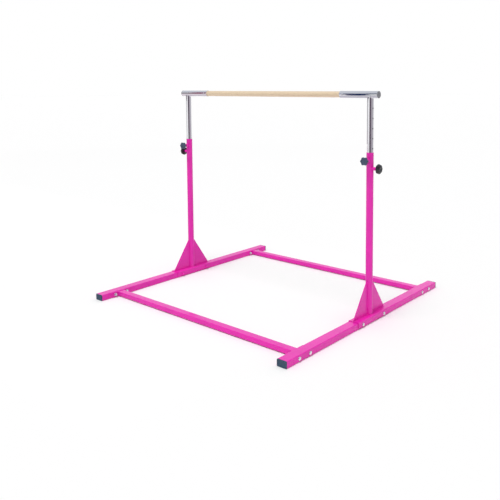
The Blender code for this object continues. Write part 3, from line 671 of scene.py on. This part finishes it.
def rail_caps():
    """Plates with a rounded edge and a sunk middle, on a short plug."""
    for side in SIDES:
        for end, way in ENDS.items():
            spot = Place(f"{side}_{end}_rail_cap")
            inner_y = Place(f"{side}_rail").outer(way, "y")
            face = abs(spot.outer(way, "y") - inner_y) - SEAT_GAP
            plug = spot.size.y - face - SEAT_GAP
            width, height = spot.size.x, spot.size.z

            def ring(inset, z):
                return rounded_rectangle(width - 2 * inset, height - 2 * inset,
                                         max(RAIL_CORNER - inset, CAP_CORNER), z)

            stack = [ring(CAP_PLUG_INSET, -plug), ring(CAP_PLUG_INSET, 0), ring(0, 0),
                     ring(0, FLAT_MARGIN)]
            stack += [ring(CAP_EDGE * (1 - math.cos(a)), face - CAP_EDGE * (1 - math.sin(a)))
                      for a in quarter_turns(5)]
            stack += [ring(CAP_EDGE + FLAT_MARGIN, face), ring(CAP_BORDER - FLAT_MARGIN, face)]
            stack += [ring(CAP_BORDER + CAP_RECESS * (1 - math.cos(a)),
                           face - CAP_RECESS * math.sin(a)) for a in quarter_turns(5)]
            piece(spot, NAVY, "frame", [laid((stack, False), spot.at(y=inner_y + way * SEAT_GAP),
                                             FRONT if way < 0 else REAR)])


def cross_tubes():
    """A tube with a welded bolt plate at each end and a bead round each joint."""
    for end in ENDS:
        spot = Place(f"{end}_cross_tube")
        half = spot.size.x / 2
        reach = half - PLATE_THICKNESS
        stacks = [laid(tube(CROSS_TALL, CROSS_WIDE, CROSS_CORNER, CROSS_WALL,
                            -reach - WELD_SINK, reach + WELD_SINK), spot.middle, OUT[1])]
        seam = rounded_rectangle(CROSS_TALL, CROSS_WIDE, CROSS_CORNER, reach)
        for side in SIDES.values():
            rings = [rounded_rectangle(spot.size.z - 2 * inset, spot.size.y - 2 * inset,
                                       PLATE_CORNER - inset, z)
                     for inset, z in ((PLATE_EDGE, reach), (0, reach + PLATE_EDGE),
                                      (0, half - PLATE_EDGE), (PLATE_EDGE, half))]
            stacks.append(laid((rings, False), spot.at(x=0), OUT[side]))
            stacks.append(bead(moved(seam, spot.at(x=0), OUT[side]), BEAD_MEDIUM, closed=True))
        piece(spot, PINK, "frame", stacks)


def carriage_bolt(name, side):
    """Smooth domed head with a rounded rim, on a plain shank."""
    spot = Place(name)
    head = spot.size.y
    steps = [(BOLT_SHANK, BOLT_HEAD_TALL - spot.size.x), (BOLT_SHANK, SEAT_GAP),
             (head - 0.0008, SEAT_GAP), (head, SEAT_GAP + RIM_EASE), (head, HEAD_RIM)]
    steps += dome(head, HEAD_RIM, BOLT_HEAD_TALL, 12)
    start = spot.at(x=spot.outer(side) - side * BOLT_HEAD_TALL)
    piece(spot, ZINC, "frame", [laid(turned(steps, MEDIUM), start, OUT[side])])


def nut_stack(start, flange=0.0):
    """Outside of a domed hexagon nut with chamfered corners, from its flange to its tip."""
    rings = []
    if flange:
        rings += rings_of([(flange, 0), (flange, NUT_FLANGE * 0.6),
                           (flange - 0.0012, NUT_FLANGE)], MEDIUM)
    across = NUT_ACROSS_FLATS
    rings += [hexagon(across, z, MEDIUM) for z in (start, NUT_HEX_TOP - NUT_CHAMFER)]
    crown = dome(across - 0.0010, NUT_HEX_TOP, NUT_HEX_TOP + NUT_DOME, 8)
    rings += rings_of([(across - 0.0004, NUT_HEX_TOP), (across - 0.0010, NUT_HEX_TOP)] + crown,
                      MEDIUM)
    return (rings, False)


def cross_fasteners():
    for side_name, side in SIDES.items():
        for end in ENDS:
            for number in (1, 2):
                carriage_bolt(f"{side_name}_{end}_cross_bolt_{number}", side)
                spot = Place(f"{side_name}_{end}_cross_nut_{number}")
                piece(spot, ZINC, "frame", [laid(nut_stack(NUT_FLANGE, spot.size.y),
                                                 spot.at(x=spot.outer(side)), OUT[-side])])


def foot_bolts():
    for side_name, side in SIDES.items():
        for end in ENDS:
            carriage_bolt(f"{side_name}_{end}_foot_bolt", side)


# Feet and outer posts

def foot_section(half, top, bottom):
    """Section of a channel bent from plate with its open side down, as (x, z) points."""

    def bend(side_x, top_z, radius, way):
        arc = [(side_x, top_z - radius - FLAT_MARGIN)]
        arc += [(side_x - radius + radius * math.cos(a), top_z - radius + radius * math.sin(a))
                for a in quarter_turns(CORNER_STEPS)]
        arc += [(side_x - radius - FLAT_MARGIN, top_z)]
        return arc if way > 0 else [(-x, z) for x, z in arc[::-1]]

    inner = half - FOOT_PLATE
    under = top - FOOT_PLATE
    wide = FOOT_BEND + FOOT_PLATE
    points = [(half - PLATE_EDGE, bottom), (half, bottom + PLATE_EDGE)]
    points += bend(half, top, wide, 1) + bend(half, top, wide, -1)
    points += [(-half, bottom + PLATE_EDGE), (-half + PLATE_EDGE, bottom), (-inner, bottom)]
    points += bend(inner, under, FOOT_BEND, -1)[::-1] + bend(inner, under, FOOT_BEND, 1)[::-1]
    points += [(inner, bottom)]
    return points


def web_stack(near, far, root, toe, top):
    """Web plate with softened edges, as a stack across its thickness."""
    outline = [(near, root), (far, root), (far, toe), (near + WEB_NOSE, top), (near, top)]
    middle_y = sum(y for y, z in outline) / len(outline)
    middle_z = sum(z for y, z in outline) / len(outline)
    half = WEB_THICKNESS / 2

    def ring(x, inset):
        return [Vector((x, y + math.copysign(inset, middle_y - y),
                        z + math.copysign(inset, middle_z - z))) for y, z in outline]

    return [ring(-half, PLATE_EDGE), ring(-half + PLATE_EDGE, 0), ring(half - PLATE_EDGE, 0),
            ring(half, PLATE_EDGE)]


def foot_brackets():
    """The channel with its two webs, its two welded nuts and the beads of its welds."""
    for side_name, side in SIDES.items():
        spot = Place(f"{side_name}_foot_bracket")
        rail = Place(f"{side_name}_rail")
        post = Place(f"{side_name}_outer_post")
        top = post.low.z - SEAT_GAP
        half = rail.size.x / 2 + SEAT_GAP + FOOT_PLATE
        section = foot_section(half, top, spot.low.z)
        centre_x = post.middle.x
        near = post.size.y / 2 + SEAT_GAP
        far = spot.size.y / 2
        stacks = [([[Vector((centre_x + x, y, z)) for x, z in section] for y in (-far, far)],
                   False)]
        web_top = rail.high.z + WEB_HEIGHT
        for way in ENDS.values():
            web = web_stack(near, far, top - WELD_SINK, top + WEB_TOE, web_top)
            stacks.append(([[Vector((centre_x + p.x, way * p.y, p.z)) for p in ring]
                            for ring in web], False))
            for face in (-1, 1):
                x = centre_x + face * WEB_THICKNESS / 2
                upright = [Vector((x, way * near, z))
                           for z in (top + BEAD_END, web_top - BEAD_END)]
                along = [Vector((x, way * y, top)) for y in (near + BEAD_END, far - BEAD_END)]
                stacks += [bead(upright, BEAD_SMALL), bead(along, BEAD_SMALL)]
        stacks.append(ring_bead(post.size.x, BEAD_SMALL, (centre_x, 0, top), UP))
        for end in ENDS:
            bolt_spot = Place(f"{side_name}_{end}_foot_bolt")
            nut_place = (centre_x - side * half, bolt_spot.middle.y, bolt_spot.middle.z)
            stacks.append(laid(nut_stack(-WELD_SINK), nut_place, OUT[-side]))
            stacks.append(ring_bead(NUT_ACROSS_FLATS + 0.0012, BEAD_FINE, nut_place, OUT[-side]))
        piece(spot, PINK, "frame", stacks)


def outer_posts():
    for name in SIDES:
        spot = Place(f"{name}_outer_post")
        piece(spot, PINK, "frame",
              [laid(pipe(spot.size.x, OUTER_WALL, 0, spot.size.z), spot.at(z=spot.low.z))])


def welded_on_post(spot, name, wide, end, bore, mouth, aim, turn=UP):
    """A bored round piece, coped to the outer post of that side, with a rounded edge round its
    mouth and a weld bead round its foot. The mouth is the last of its (diameter, z) steps, and
    the turn brings the aim's X onto the post's axis."""
    post = Place(f"{name}_outer_post")
    across = post.size.x
    axis = Vector((post.middle.x, 0, spot.middle.z))
    steps = [(bore, across / 4), (wide, across / 4), (wide, end - MOUTH_EDGE - FLAT_MARGIN)]
    steps += quarter((wide, end - MOUTH_EDGE), (wide - 2 * MOUTH_EDGE, end), 4)
    made = piece(spot, PINK, "frame",
                 [laid(turned(steps + mouth, MEDIUM, closed=True), axis, aim)],
                 [laid(turned([(across, -across), (across, across)]), axis)])
    seam = moved(saddle(wide, across, aim @ turn), axis)
    join(made, [bead(seam, BEAD_SMALL, closed=True)])


def clamp_bosses():
    for name in SIDES:
        spot = Place(f"{name}_clamp_boss")
        wide, face = spot.size.x, -spot.low.y
        bore = wide - 2 * BOSS_WALL
        welded_on_post(spot, name, wide, face, bore,
                       [(bore + 0.0010, face), (bore, face - 0.0006)], FRONT, ALONG_POST)


def pin_housings():
    for name, side in SIDES.items():
        spot = Place(f"{name}_pin_housing")
        end = abs(spot.outer(side) - Place(f"{name}_outer_post").middle.x)
        hole = PIN_ROD + 2 * SEAT_GAP
        welded_on_post(spot, name, spot.size.y, end, HOUSING_BORE,
                       [(hole, end), (hole, end - HOUSING_END), (HOUSING_BORE, end - HOUSING_END)],
                       OUT[side])


# Posts, sleeves and bar that go up and down

def inner_posts():
    """Round tubes with bevelled height holes, coped to the sleeve that is welded across them."""
    for name, side in SIDES.items():
        spot = Place(f"{name}_inner_post")
        sleeve = Place(f"{name}_sleeve")
        crossed = sleeve.size.z + 2 * SEAT_GAP
        axis_z = sleeve.middle.z
        size = spot.size.x
        length = laid(pipe(size, INNER_WALL, spot.low.z, axis_z), (spot.middle.x, 0, 0))
        tools = [laid(turned([(crossed, -size), (crossed, size)]), (spot.middle.x, 0, axis_z),
                      OUT[1])]
        face = spot.middle.x + side * size / 2
        for number in range(HOLE_COUNT):
            height = axis_z - FIRST_HOLE_DROP - number * HOLE_SPACING
            tools.append(drill(HOLE_DIAMETER, size / 4, (face, 0, height), OUT[side], HOLE_BEVEL,
                               HOLE_FACETS))
        piece(spot, CHROME, "bar", [length], tools)


def sleeves():
    """Round tubes with rounded mouths, a screw hole and a plated bead where the post meets."""
    for name, side in SIDES.items():
        spot = Place(f"{name}_sleeve")
        screw = Place(f"{name}_sleeve_screw")
        wide, long = spot.size.z, spot.size.x
        bore = wide - 2 * SLEEVE_WALL
        mouth = SLEEVE_MOUTH
        profile = quarter((bore, mouth), (bore + 2 * mouth, 0), 4)
        profile += quarter((wide, mouth), (wide - 2 * mouth, 0), 4)[::-1]
        profile += [(wide, mouth + FLAT_MARGIN), (wide, long - EDGE - FLAT_MARGIN),
                    (wide, long - EDGE), (wide - 2 * EDGE, long), (bore + 2 * EDGE, long),
                    (bore, long - EDGE), (bore, mouth + FLAT_MARGIN)]
        hole = drill(SCREW_HOLE, 2 * SLEEVE_WALL, (screw.middle.x, -wide / 2, spot.middle.z),
                     FRONT)
        start = (spot.inner(side), 0, spot.middle.z)
        made = piece(spot, CHROME, "bar", [laid(turned(profile, closed=True), start, OUT[side])],
                     [hole])
        post = Place(f"{name}_inner_post")
        axis = (post.middle.x, 0, spot.middle.z)
        seam = moved(saddle(post.size.x, wide, DOWN), axis)
        join(made, [bead(seam, BEAD_MEDIUM, closed=True)])


def sleeve_caps():
    """Domed plugs, with a small step between the flange's rim and the dome."""
    for name, side in SIDES.items():
        spot = Place(f"{name}_sleeve_cap")
        sleeve = Place(f"{name}_sleeve")
        seam = sleeve.outer(side)
        tip = abs(spot.outer(side) - seam)
        plug = abs(seam - spot.inner(side))
        wide = spot.size.z
        inner = wide - 2 * CAP_SHOULDER
        steps = [(inner, -plug), (inner, SEAT_GAP), (wide - 2 * RIM_EASE, SEAT_GAP),
                 (wide, SEAT_GAP + RIM_EASE), (wide, CAP_EDGE)]
        steps += dome(wide, CAP_EDGE, tip, 14)
        piece(spot, GREY, "bar", [laid(turned(steps), (seam, 0, spot.middle.z), OUT[side])])


def sleeve_screws():
    """Pan-head screws with a cross recess."""
    for name in SIDES:
        spot = Place(f"{name}_sleeve_screw")
        sleeve = Place(f"{name}_sleeve")
        seat = sleeve.low.y - SEAT_GAP
        tall = seat - spot.low.y
        wide = spot.size.x
        depth = spot.high.y - seat
        steps = [(0, -depth), (SCREW_SHANK * 0.6, -depth + 0.001), (SCREW_SHANK, -depth + 0.003),
                 (SCREW_SHANK, 0), (wide - 2 * RIM_EASE, 0), (wide, RIM_EASE),
                 (wide, SCREW_RIM)]
        steps += dome(wide, SCREW_RIM, tall, 8)
        start = spot.at(y=seat)
        slots = []
        for w, h in ((CROSS_RECESS, CROSS_RECESS_WIDTH), (CROSS_RECESS_WIDTH, CROSS_RECESS)):
            rings = [rounded_rectangle(w * f, h * f, 0.0003, z, 2)
                     for f, z in ((0.55, tall - CROSS_RECESS_DEPTH), (1.0, tall + CUT_PAST))]
            slots.append([laid((rings, False), start, FRONT)])
        piece(spot, ZINC, "bar", [laid(turned(steps, SCREW_FACETS), start, FRONT)], *slots)


def wooden_bar():
    """The bar with eased ends, and the core through it."""
    spot = Place("wooden_bar")
    wide, half = spot.size.z, spot.size.x / 2
    core = Place("bar_core")
    bore = core.size.z + 2 * SEAT_GAP
    straight = half - BAR_EASE
    steps = [(bore, -half), (wide - 2 * BAR_EASE, -half)]
    steps += [(wide, straight * (2 * i / BAR_ROWS - 1)) for i in range(BAR_ROWS + 1)]
    steps += [(wide - 2 * BAR_EASE, half), (bore, half)]
    piece(spot, WOOD, "bar", [laid(turned(steps, closed=True), spot.middle, OUT[1])])
    wide, half = core.size.z, core.size.x / 2
    steps = [(wide - 2 * RIM_EASE, -half), (wide, -half + RIM_EASE), (wide, half - RIM_EASE),
             (wide - 2 * RIM_EASE, half)]
    piece(core, FIBREGLASS, "bar", [laid(turned(steps, MEDIUM), core.middle, OUT[1])])


# Clamps and locking pins

def knob(wide, front, neck, face, back_edge, front_edge, steps, scallop, lobes, facets):
    """Stack of a knob: a round neck, a lobed grip with a rounded edge at each end, and a round
    face. The neck has (diameter, z) steps, and the face (diameter, depth) ones."""
    back = neck[-1][1]
    grip = quarter((wide, back + back_edge[1]), (wide - 2 * back_edge[0], back), steps[0])[::-1]
    grip += quarter((wide, front - front_edge[1]), (wide - 2 * front_edge[0], front), steps[1])
    rings = rings_of(neck, facets)
    rings += [lobed(d, scallop * d / wide, lobes, z, facets) for d, z in grip]
    rings += rings_of([(d, front - depth) for d, depth in face], facets)
    return (rings, False)


def clamp_knobs():
    """Six-lobed hand knobs on a round hub, with a shallow dish round a raised boss in front."""
    for name in SIDES:
        spot = Place(f"{name}_clamp_knob")
        stud = Place(f"{name}_clamp_stud")
        back = CLAMP_HUB_LENGTH
        hub = [(CLAMP_HUB_BORE, 0), (CLAMP_HUB - 0.0012, 0), (CLAMP_HUB, 0.0006),
               (CLAMP_HUB, back - 0.0012), (CLAMP_HUB + 0.0012, back)]
        dish = [(0.0260, 0), (0.0245, 0.0003), (0.0225, 0.0011), (0.0180, 0.0013),
                (0.0165, 0.0009), (0.0150, 0.0004), (0.0120, 0.0002), (0, 0.0001)]
        stack = knob(spot.size.x, spot.size.y, hub, dish, CLAMP_BACK_EDGE, CLAMP_FRONT_EDGE,
                     (6, 8), CLAMP_SCALLOP, CLAMP_LOBES, CLAMP_FACETS)
        # The knobs take the navy plastic painted lighter, as painted light.
        piece(spot, LIT_NAVY, f"{name}_clamp_screw",
              [laid(stack, (spot.middle.x, spot.high.y, stud.middle.z), FRONT)])


def clamp_studs():
    """Studs with a real helical thread, and the swivel pads on their tips."""
    for name in SIDES:
        spot = Place(f"{name}_clamp_stud")
        wide, long = spot.size.x, spot.size.y
        rows = int(long / STUD_THREAD_PITCH * 8)

        def thread(a, z):
            """The thread runs out at both ends."""
            phase = (z / STUD_THREAD_PITCH - a / (2 * math.pi)) % 1.0
            fade = max(0.0, min(1.0, z / STUD_RUN_OUT, (long - z) / STUD_RUN_OUT))
            return wide / 2 - STUD_THREAD_DEPTH * (1 - abs(2 * phase - 1)) * fade

        rings = [ring_of(long * row / rows, SMALL, thread) for row in range(rows + 1)]
        piece(spot, STEEL, f"{name}_clamp_screw",
              [laid((rings, False), spot.at(y=spot.high.y), FRONT)])
        pad = Place(f"{name}_clamp_pad")
        across, thick = pad.size.x, PAD_THICKNESS
        steps = [(across - 2 * EDGE, 0), (across, EDGE), (across, thick - EDGE),
                 (across - 2 * EDGE, thick), (PAD_STEM, thick), (PAD_STEM, pad.size.y)]
        piece(pad, NYLON, f"{name}_clamp_slider",
              [laid(turned(steps, MEDIUM), pad.at(y=pad.high.y), FRONT)])


def locking_pins():
    """Turned pins with a chamfered nose and a collar for the spring."""
    for name, side in SIDES.items():
        spot = Place(f"{name}_locking_pin")
        collar = spot.size.z
        post = Place(f"{name}_outer_post")
        seat = abs(post.outer(side) - spot.inner(side)) + 2 * SEAT_GAP
        wide, nose, past = PIN_DIAMETER, PIN_NOSE, seat + PIN_COLLAR
        steps = [(wide - 2 * nose, 0), (wide - 0.0004, nose - 0.0003), (wide, nose), (wide, seat),
                 (collar, seat), (collar, past - EDGE), (collar - 2 * EDGE, past),
                 (PIN_ROD, past), (PIN_ROD, spot.size.x)]
        piece(spot, STEEL, f"{name}_lock",
              [laid(turned(steps, MEDIUM), spot.at(x=spot.inner(side)), OUT[side])])


def pin_springs():
    """Round-wire springs."""
    for name, side in SIDES.items():
        spot = Place(f"{name}_pin_spring")
        thick = SPRING_WIRE / 2
        reach = spot.size.z / 2 - thick
        long = spot.size.x - SPRING_WIRE
        count = SPRING_TURNS * SPRING_STEPS
        rings = []
        for i in range(count + 1):
            angle = 2 * math.pi * i / SPRING_STEPS
            out = Vector((math.cos(angle), math.sin(angle), 0))
            middle = reach * out + Vector((0, 0, thick + long * i / count))
            rings.append([middle + thick * (math.cos(a) * out + Vector((0, 0, math.sin(a))))
                          for a in round_turns(SPRING_SIDES)])
        made = piece(spot, STEEL, "frame",
                     [laid((rings, False), spot.at(x=spot.inner(side)), OUT[side])])
        anchor = spot.at(x=spot.outer(side))
        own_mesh(made)


def pull_knobs():
    """Mushroom knobs with shallow lobes, a slim neck and a small dimple in the crown."""
    for name, side in SIDES.items():
        spot = Place(f"{name}_pull_knob")
        back = PULL_NECK_LENGTH
        neck = [(PIN_ROD + 2 * SEAT_GAP, 0), (PULL_NECK - 0.0010, 0), (PULL_NECK, 0.0005),
                (PULL_NECK, back - 0.0025), (PULL_NECK + 0.0012, back - 0.0008),
                (PULL_NECK + 0.0040, back)]
        crown = [(0.0200, 0), (0.0100, 0), (0.0090, 0.0002), (0.0074, 0.0009), (0.0040, 0.0011),
                 (0, 0.0011)]
        stack = knob(spot.size.z, spot.size.x, neck, crown, PULL_BACK_EDGE, PULL_FRONT_EDGE,
                     (8, 14), PULL_SCALLOP, PULL_LOBES, PULL_FACETS)
        piece(spot, BLACK, f"{name}_lock", [laid(stack, spot.at(x=spot.inner(side)), OUT[side])])


side_rails()
rail_caps()
cross_tubes()
cross_fasteners()
foot_bolts()
foot_brackets()
outer_posts()
clamp_bosses()
pin_housings()
inner_posts()
sleeves()
sleeve_caps()
sleeve_screws()
wooden_bar()
clamp_knobs()
clamp_studs()
locking_pins()
pin_springs()
pull_knobs()


# Floor, light and camera

def mirrored(made):
    """Only reflections see it: it neither lights the object nor shows to the camera."""
    made.visible_camera = False
    made.visible_shadow = False
    made.visible_diffuse = False
    made.visible_transmission = False
    link(made)


def tone(name, colour):
    """A plain tone that a card shows in reflections."""
    made = bpy.data.materials.new(name)
    made.use_nodes = True
    tree = made.node_tree
    tree.nodes.remove(tree.nodes["Principled BSDF"])
    glow = add(tree, "ShaderNodeEmission", Color=(*colour, 1.0), Strength=1.0)
    tree.links.new(glow.outputs["Emission"], tree.nodes["Material Output"].inputs["Surface"])
    return made


def panel(name, colour, points, faces):
    mesh = bpy.data.meshes.new(name)
    mesh.from_pydata(points, [], faces)
    mesh.materials.append(tone(f"{name}_tone", colour))
    mirrored(bpy.data.objects.new(name, mesh))


def around(azimuth, distance, height):
    """A point round the object. Azimuth 0 is in front and 90 on the right, in degrees."""
    turn = math.radians(azimuth)
    return distance * math.sin(turn), -distance * math.cos(turn), height


def card(name, colour, azimuths, distance, heights):
    """A curved upright card round the object, from one azimuth to another."""
    steps = 12
    points = []
    for i in range(steps + 1):
        azimuth = azimuths[0] + (azimuths[1] - azimuths[0]) * i / steps
        points += [around(azimuth, distance, height) for height in heights]
    panel(name, colour, points, [(2 * i, 2 * i + 2, 2 * i + 3, 2 * i + 1) for i in range(steps)])


def cut_card(name, colour, distance, corners):
    """An upright card with (azimuth, height) corners."""
    panel(name, colour, [around(azimuth, distance, height) for azimuth, height in corners],
          [tuple(range(len(corners)))])


def level_card(name, colour, corners, height):
    """A flat card at a height, with (x, y) corners."""
    panel(name, colour, [(x, y, height) for x, y in corners], [tuple(range(len(corners)))])


def box_corners(x0, y0, x1, y1):
    """Corners of a rectangle, as (x, y)."""
    return [(x0, y0), (x1, y0), (x1, y1), (x0, y1)]


def floor():
    """White floor that reads as bare background to the camera but keeps the shadow."""
    mesh = bpy.data.meshes.new("floor")
    reach = 60.0
    corners = box_corners(-reach, -reach, reach, reach)
    mesh.from_pydata([(x, y, 0) for x, y in corners], [], [(0, 1, 2, 3)])
    made = bpy.data.objects.new("floor", mesh)
    made.location = (0, 0, -0.0005)
    white, _, shader = new_material("floor_white", (0.97, 0.97, 0.97), 0.9)
    shader.inputs["Specular IOR Level"].default_value = 0.1
    mesh.materials.append(white)
    link(made)


def world():
    """White to the camera and in reflections, and a plain dimmer light on the object."""
    made = bpy.data.worlds.new("studio")
    bpy.context.scene.world = made
    made.use_nodes = True
    tree = made.node_tree
    background = tree.nodes["Background"]
    path = add(tree, "ShaderNodeLightPath")
    seen = path.outputs["Is Camera Ray"]
    for kind in ("Is Glossy Ray", "Is Transmission Ray"):
        either = add(tree, "ShaderNodeMath", operation="MAXIMUM")
        tree.links.new(seen, either.inputs[0])
        tree.links.new(path.outputs[kind], either.inputs[1])
        seen = either.outputs["Value"]
    mixed = add(tree, "ShaderNodeMix", data_type="FLOAT")
    mixed.inputs["A"].default_value = FILL
    mixed.inputs["B"].default_value = 1.0
    tree.links.new(seen, mixed.inputs["Factor"])
    tree.links.new(mixed.outputs["Result"], background.inputs["Strength"])
    background.inputs["Color"].default_value = (1.0, 1.0, 1.0, 1.0)


def sun(strength, azimuth, elevation, angle):
    """Sun from an azimuth (0 in front, 90 on the right) and an elevation, in degrees."""
    light = bpy.data.lights.new("sun", "SUN")
    light.energy = strength
    light.angle = math.radians(angle)
    made = bpy.data.objects.new("sun", light)
    rise = math.radians(elevation)
    source = Vector(around(azimuth, math.cos(rise), math.sin(rise)))
    made.rotation_euler = source.to_track_quat("Z", "Y").to_euler()
    link(made)


def camera():
    yaw, pitch, roll = CAMERA_YAW, CAMERA_PITCH, CAMERA_ROLL
    ahead = Vector((-math.sin(yaw) * math.cos(pitch), math.cos(yaw) * math.cos(pitch),
                    -math.sin(pitch)))
    right = Vector((math.cos(yaw), math.sin(yaw), 0))
    up = right.cross(ahead)
    x_axis = math.cos(roll) * right + math.sin(roll) * up
    y_axis = -math.sin(roll) * right + math.cos(roll) * up
    turn = Matrix((x_axis, y_axis, -ahead)).transposed().to_4x4()
    data = bpy.data.cameras.new("camera")
    data.sensor_width = SENSOR_WIDTH
    data.lens = FOCAL_PIXELS / IMAGE_WIDTH * SENSOR_WIDTH
    data.shift_x = -(PRINCIPAL_POINT[0] - IMAGE_WIDTH / 2) / IMAGE_WIDTH
    data.shift_y = (PRINCIPAL_POINT[1] - IMAGE_WIDTH / 2) / IMAGE_WIDTH
    made = bpy.data.objects.new("camera", data)
    made.matrix_world = Matrix.Translation(CAMERA_PLACE) @ turn
    link(made)
    bpy.context.scene.camera = made


def room_cards():
    """Large plain cards round the object, over it and on the floor."""
    foot, top = -0.05, 5.0
    card("card_behind_camera", (0.12, 0.09, 0.125), (4, 58), 7.0, (foot, top))
    card("card_right", (0.43, 0.40, 0.44), (58, 108), 7.0, (foot, top))
    card("card_rear_light", (0.58, 0.57, 0.61), (108, 141), 7.2, (foot, top))
    card("card_rear_grey", (0.46, 0.44, 0.48), (141, 166), 7.2, (foot, top))
    card("card_left", (0.38, 0.37, 0.40), (-150, -72), 9.0, (foot, 1.7))
    level_card("card_floor_left", (0.80, 0.72, 0.77), box_corners(-8.0, -5.5, -1.45, 1.0), 0.008)
    level_card("card_floor_near", (0.62, 0.63, 0.68), box_corners(-1.45, -1.5, 0.5, 1.0), 0.01)
    level_card("card_overhead", (0.65, 0.68, 0.73), box_corners(-14, -14, 14, 14), 8.0)


def streak_cards():
    """Cards that the sleeves show as streaks: in front of the bar, under it and on the floor."""
    navy, maroon, grey = (0.012, 0.025, 0.09), (0.25, 0.05, 0.11), (0.20, 0.19, 0.20)
    away, foot = 9.0, 0.9
    navy_edge = [(-35.2, 5.8), (-31.4, 2.3), (-31.4, foot)]
    grey_edge = [(-50.0, foot), (-50.0, 2.05), (-51.9, 3.45)]
    cut_card("card_front_navy", navy, away, navy_edge[::-1] + [
        (-32.8, 5.8), (-34.6, 6.8), (-24.0, 6.8), (-24.0, 3.4), (-29.0, 3.4), (-28.4, 2.3),
        (-28.3, foot)])
    cut_card("card_front_blue_grey", (0.48, 0.51, 0.60), away,
             [(-42.0, foot), (-42.0, 5.8)] + navy_edge)
    cut_card("card_front_maroon", maroon, away,
             grey_edge + [(-56.3, 5.11), (-58.5, 5.6), (-46.0, 5.6), (-46.0, foot)])
    cut_card("card_front_grey", grey, away,
             grey_edge + [(-54.0, 4.2), (-80.0, 4.2), (-80.0, foot)])
    under = 1.128
    level_card("card_level_navy", navy,
               [(0.464, -0.11), (0.595, -0.114), (0.137, -0.968), (-0.052, -0.935)], under)
    near, far, slant = -0.115, -0.66, -0.651
    for name, colour, x0, x1 in (("maroon", maroon, -0.735, -0.605),
                                 ("grey", grey, -0.845, -0.735)):
        level_card(f"card_level_{name}", colour,
                   [(x0, near), (x1, near), (x1 + slant, far), (x0 + slant, far)], under)
    level_card("card_floor_navy", navy,
               [(-0.88, -1.8), (-0.70, -1.8), (-3.88, -8.5), (-4.80, -8.5)], 0.01)


floor()
world()
sun(KEY, *KEY_FROM, KEY_SPREAD)
room_cards()
streak_cards()
camera()
bpy.context.scene.view_settings.view_transform = "Standard"
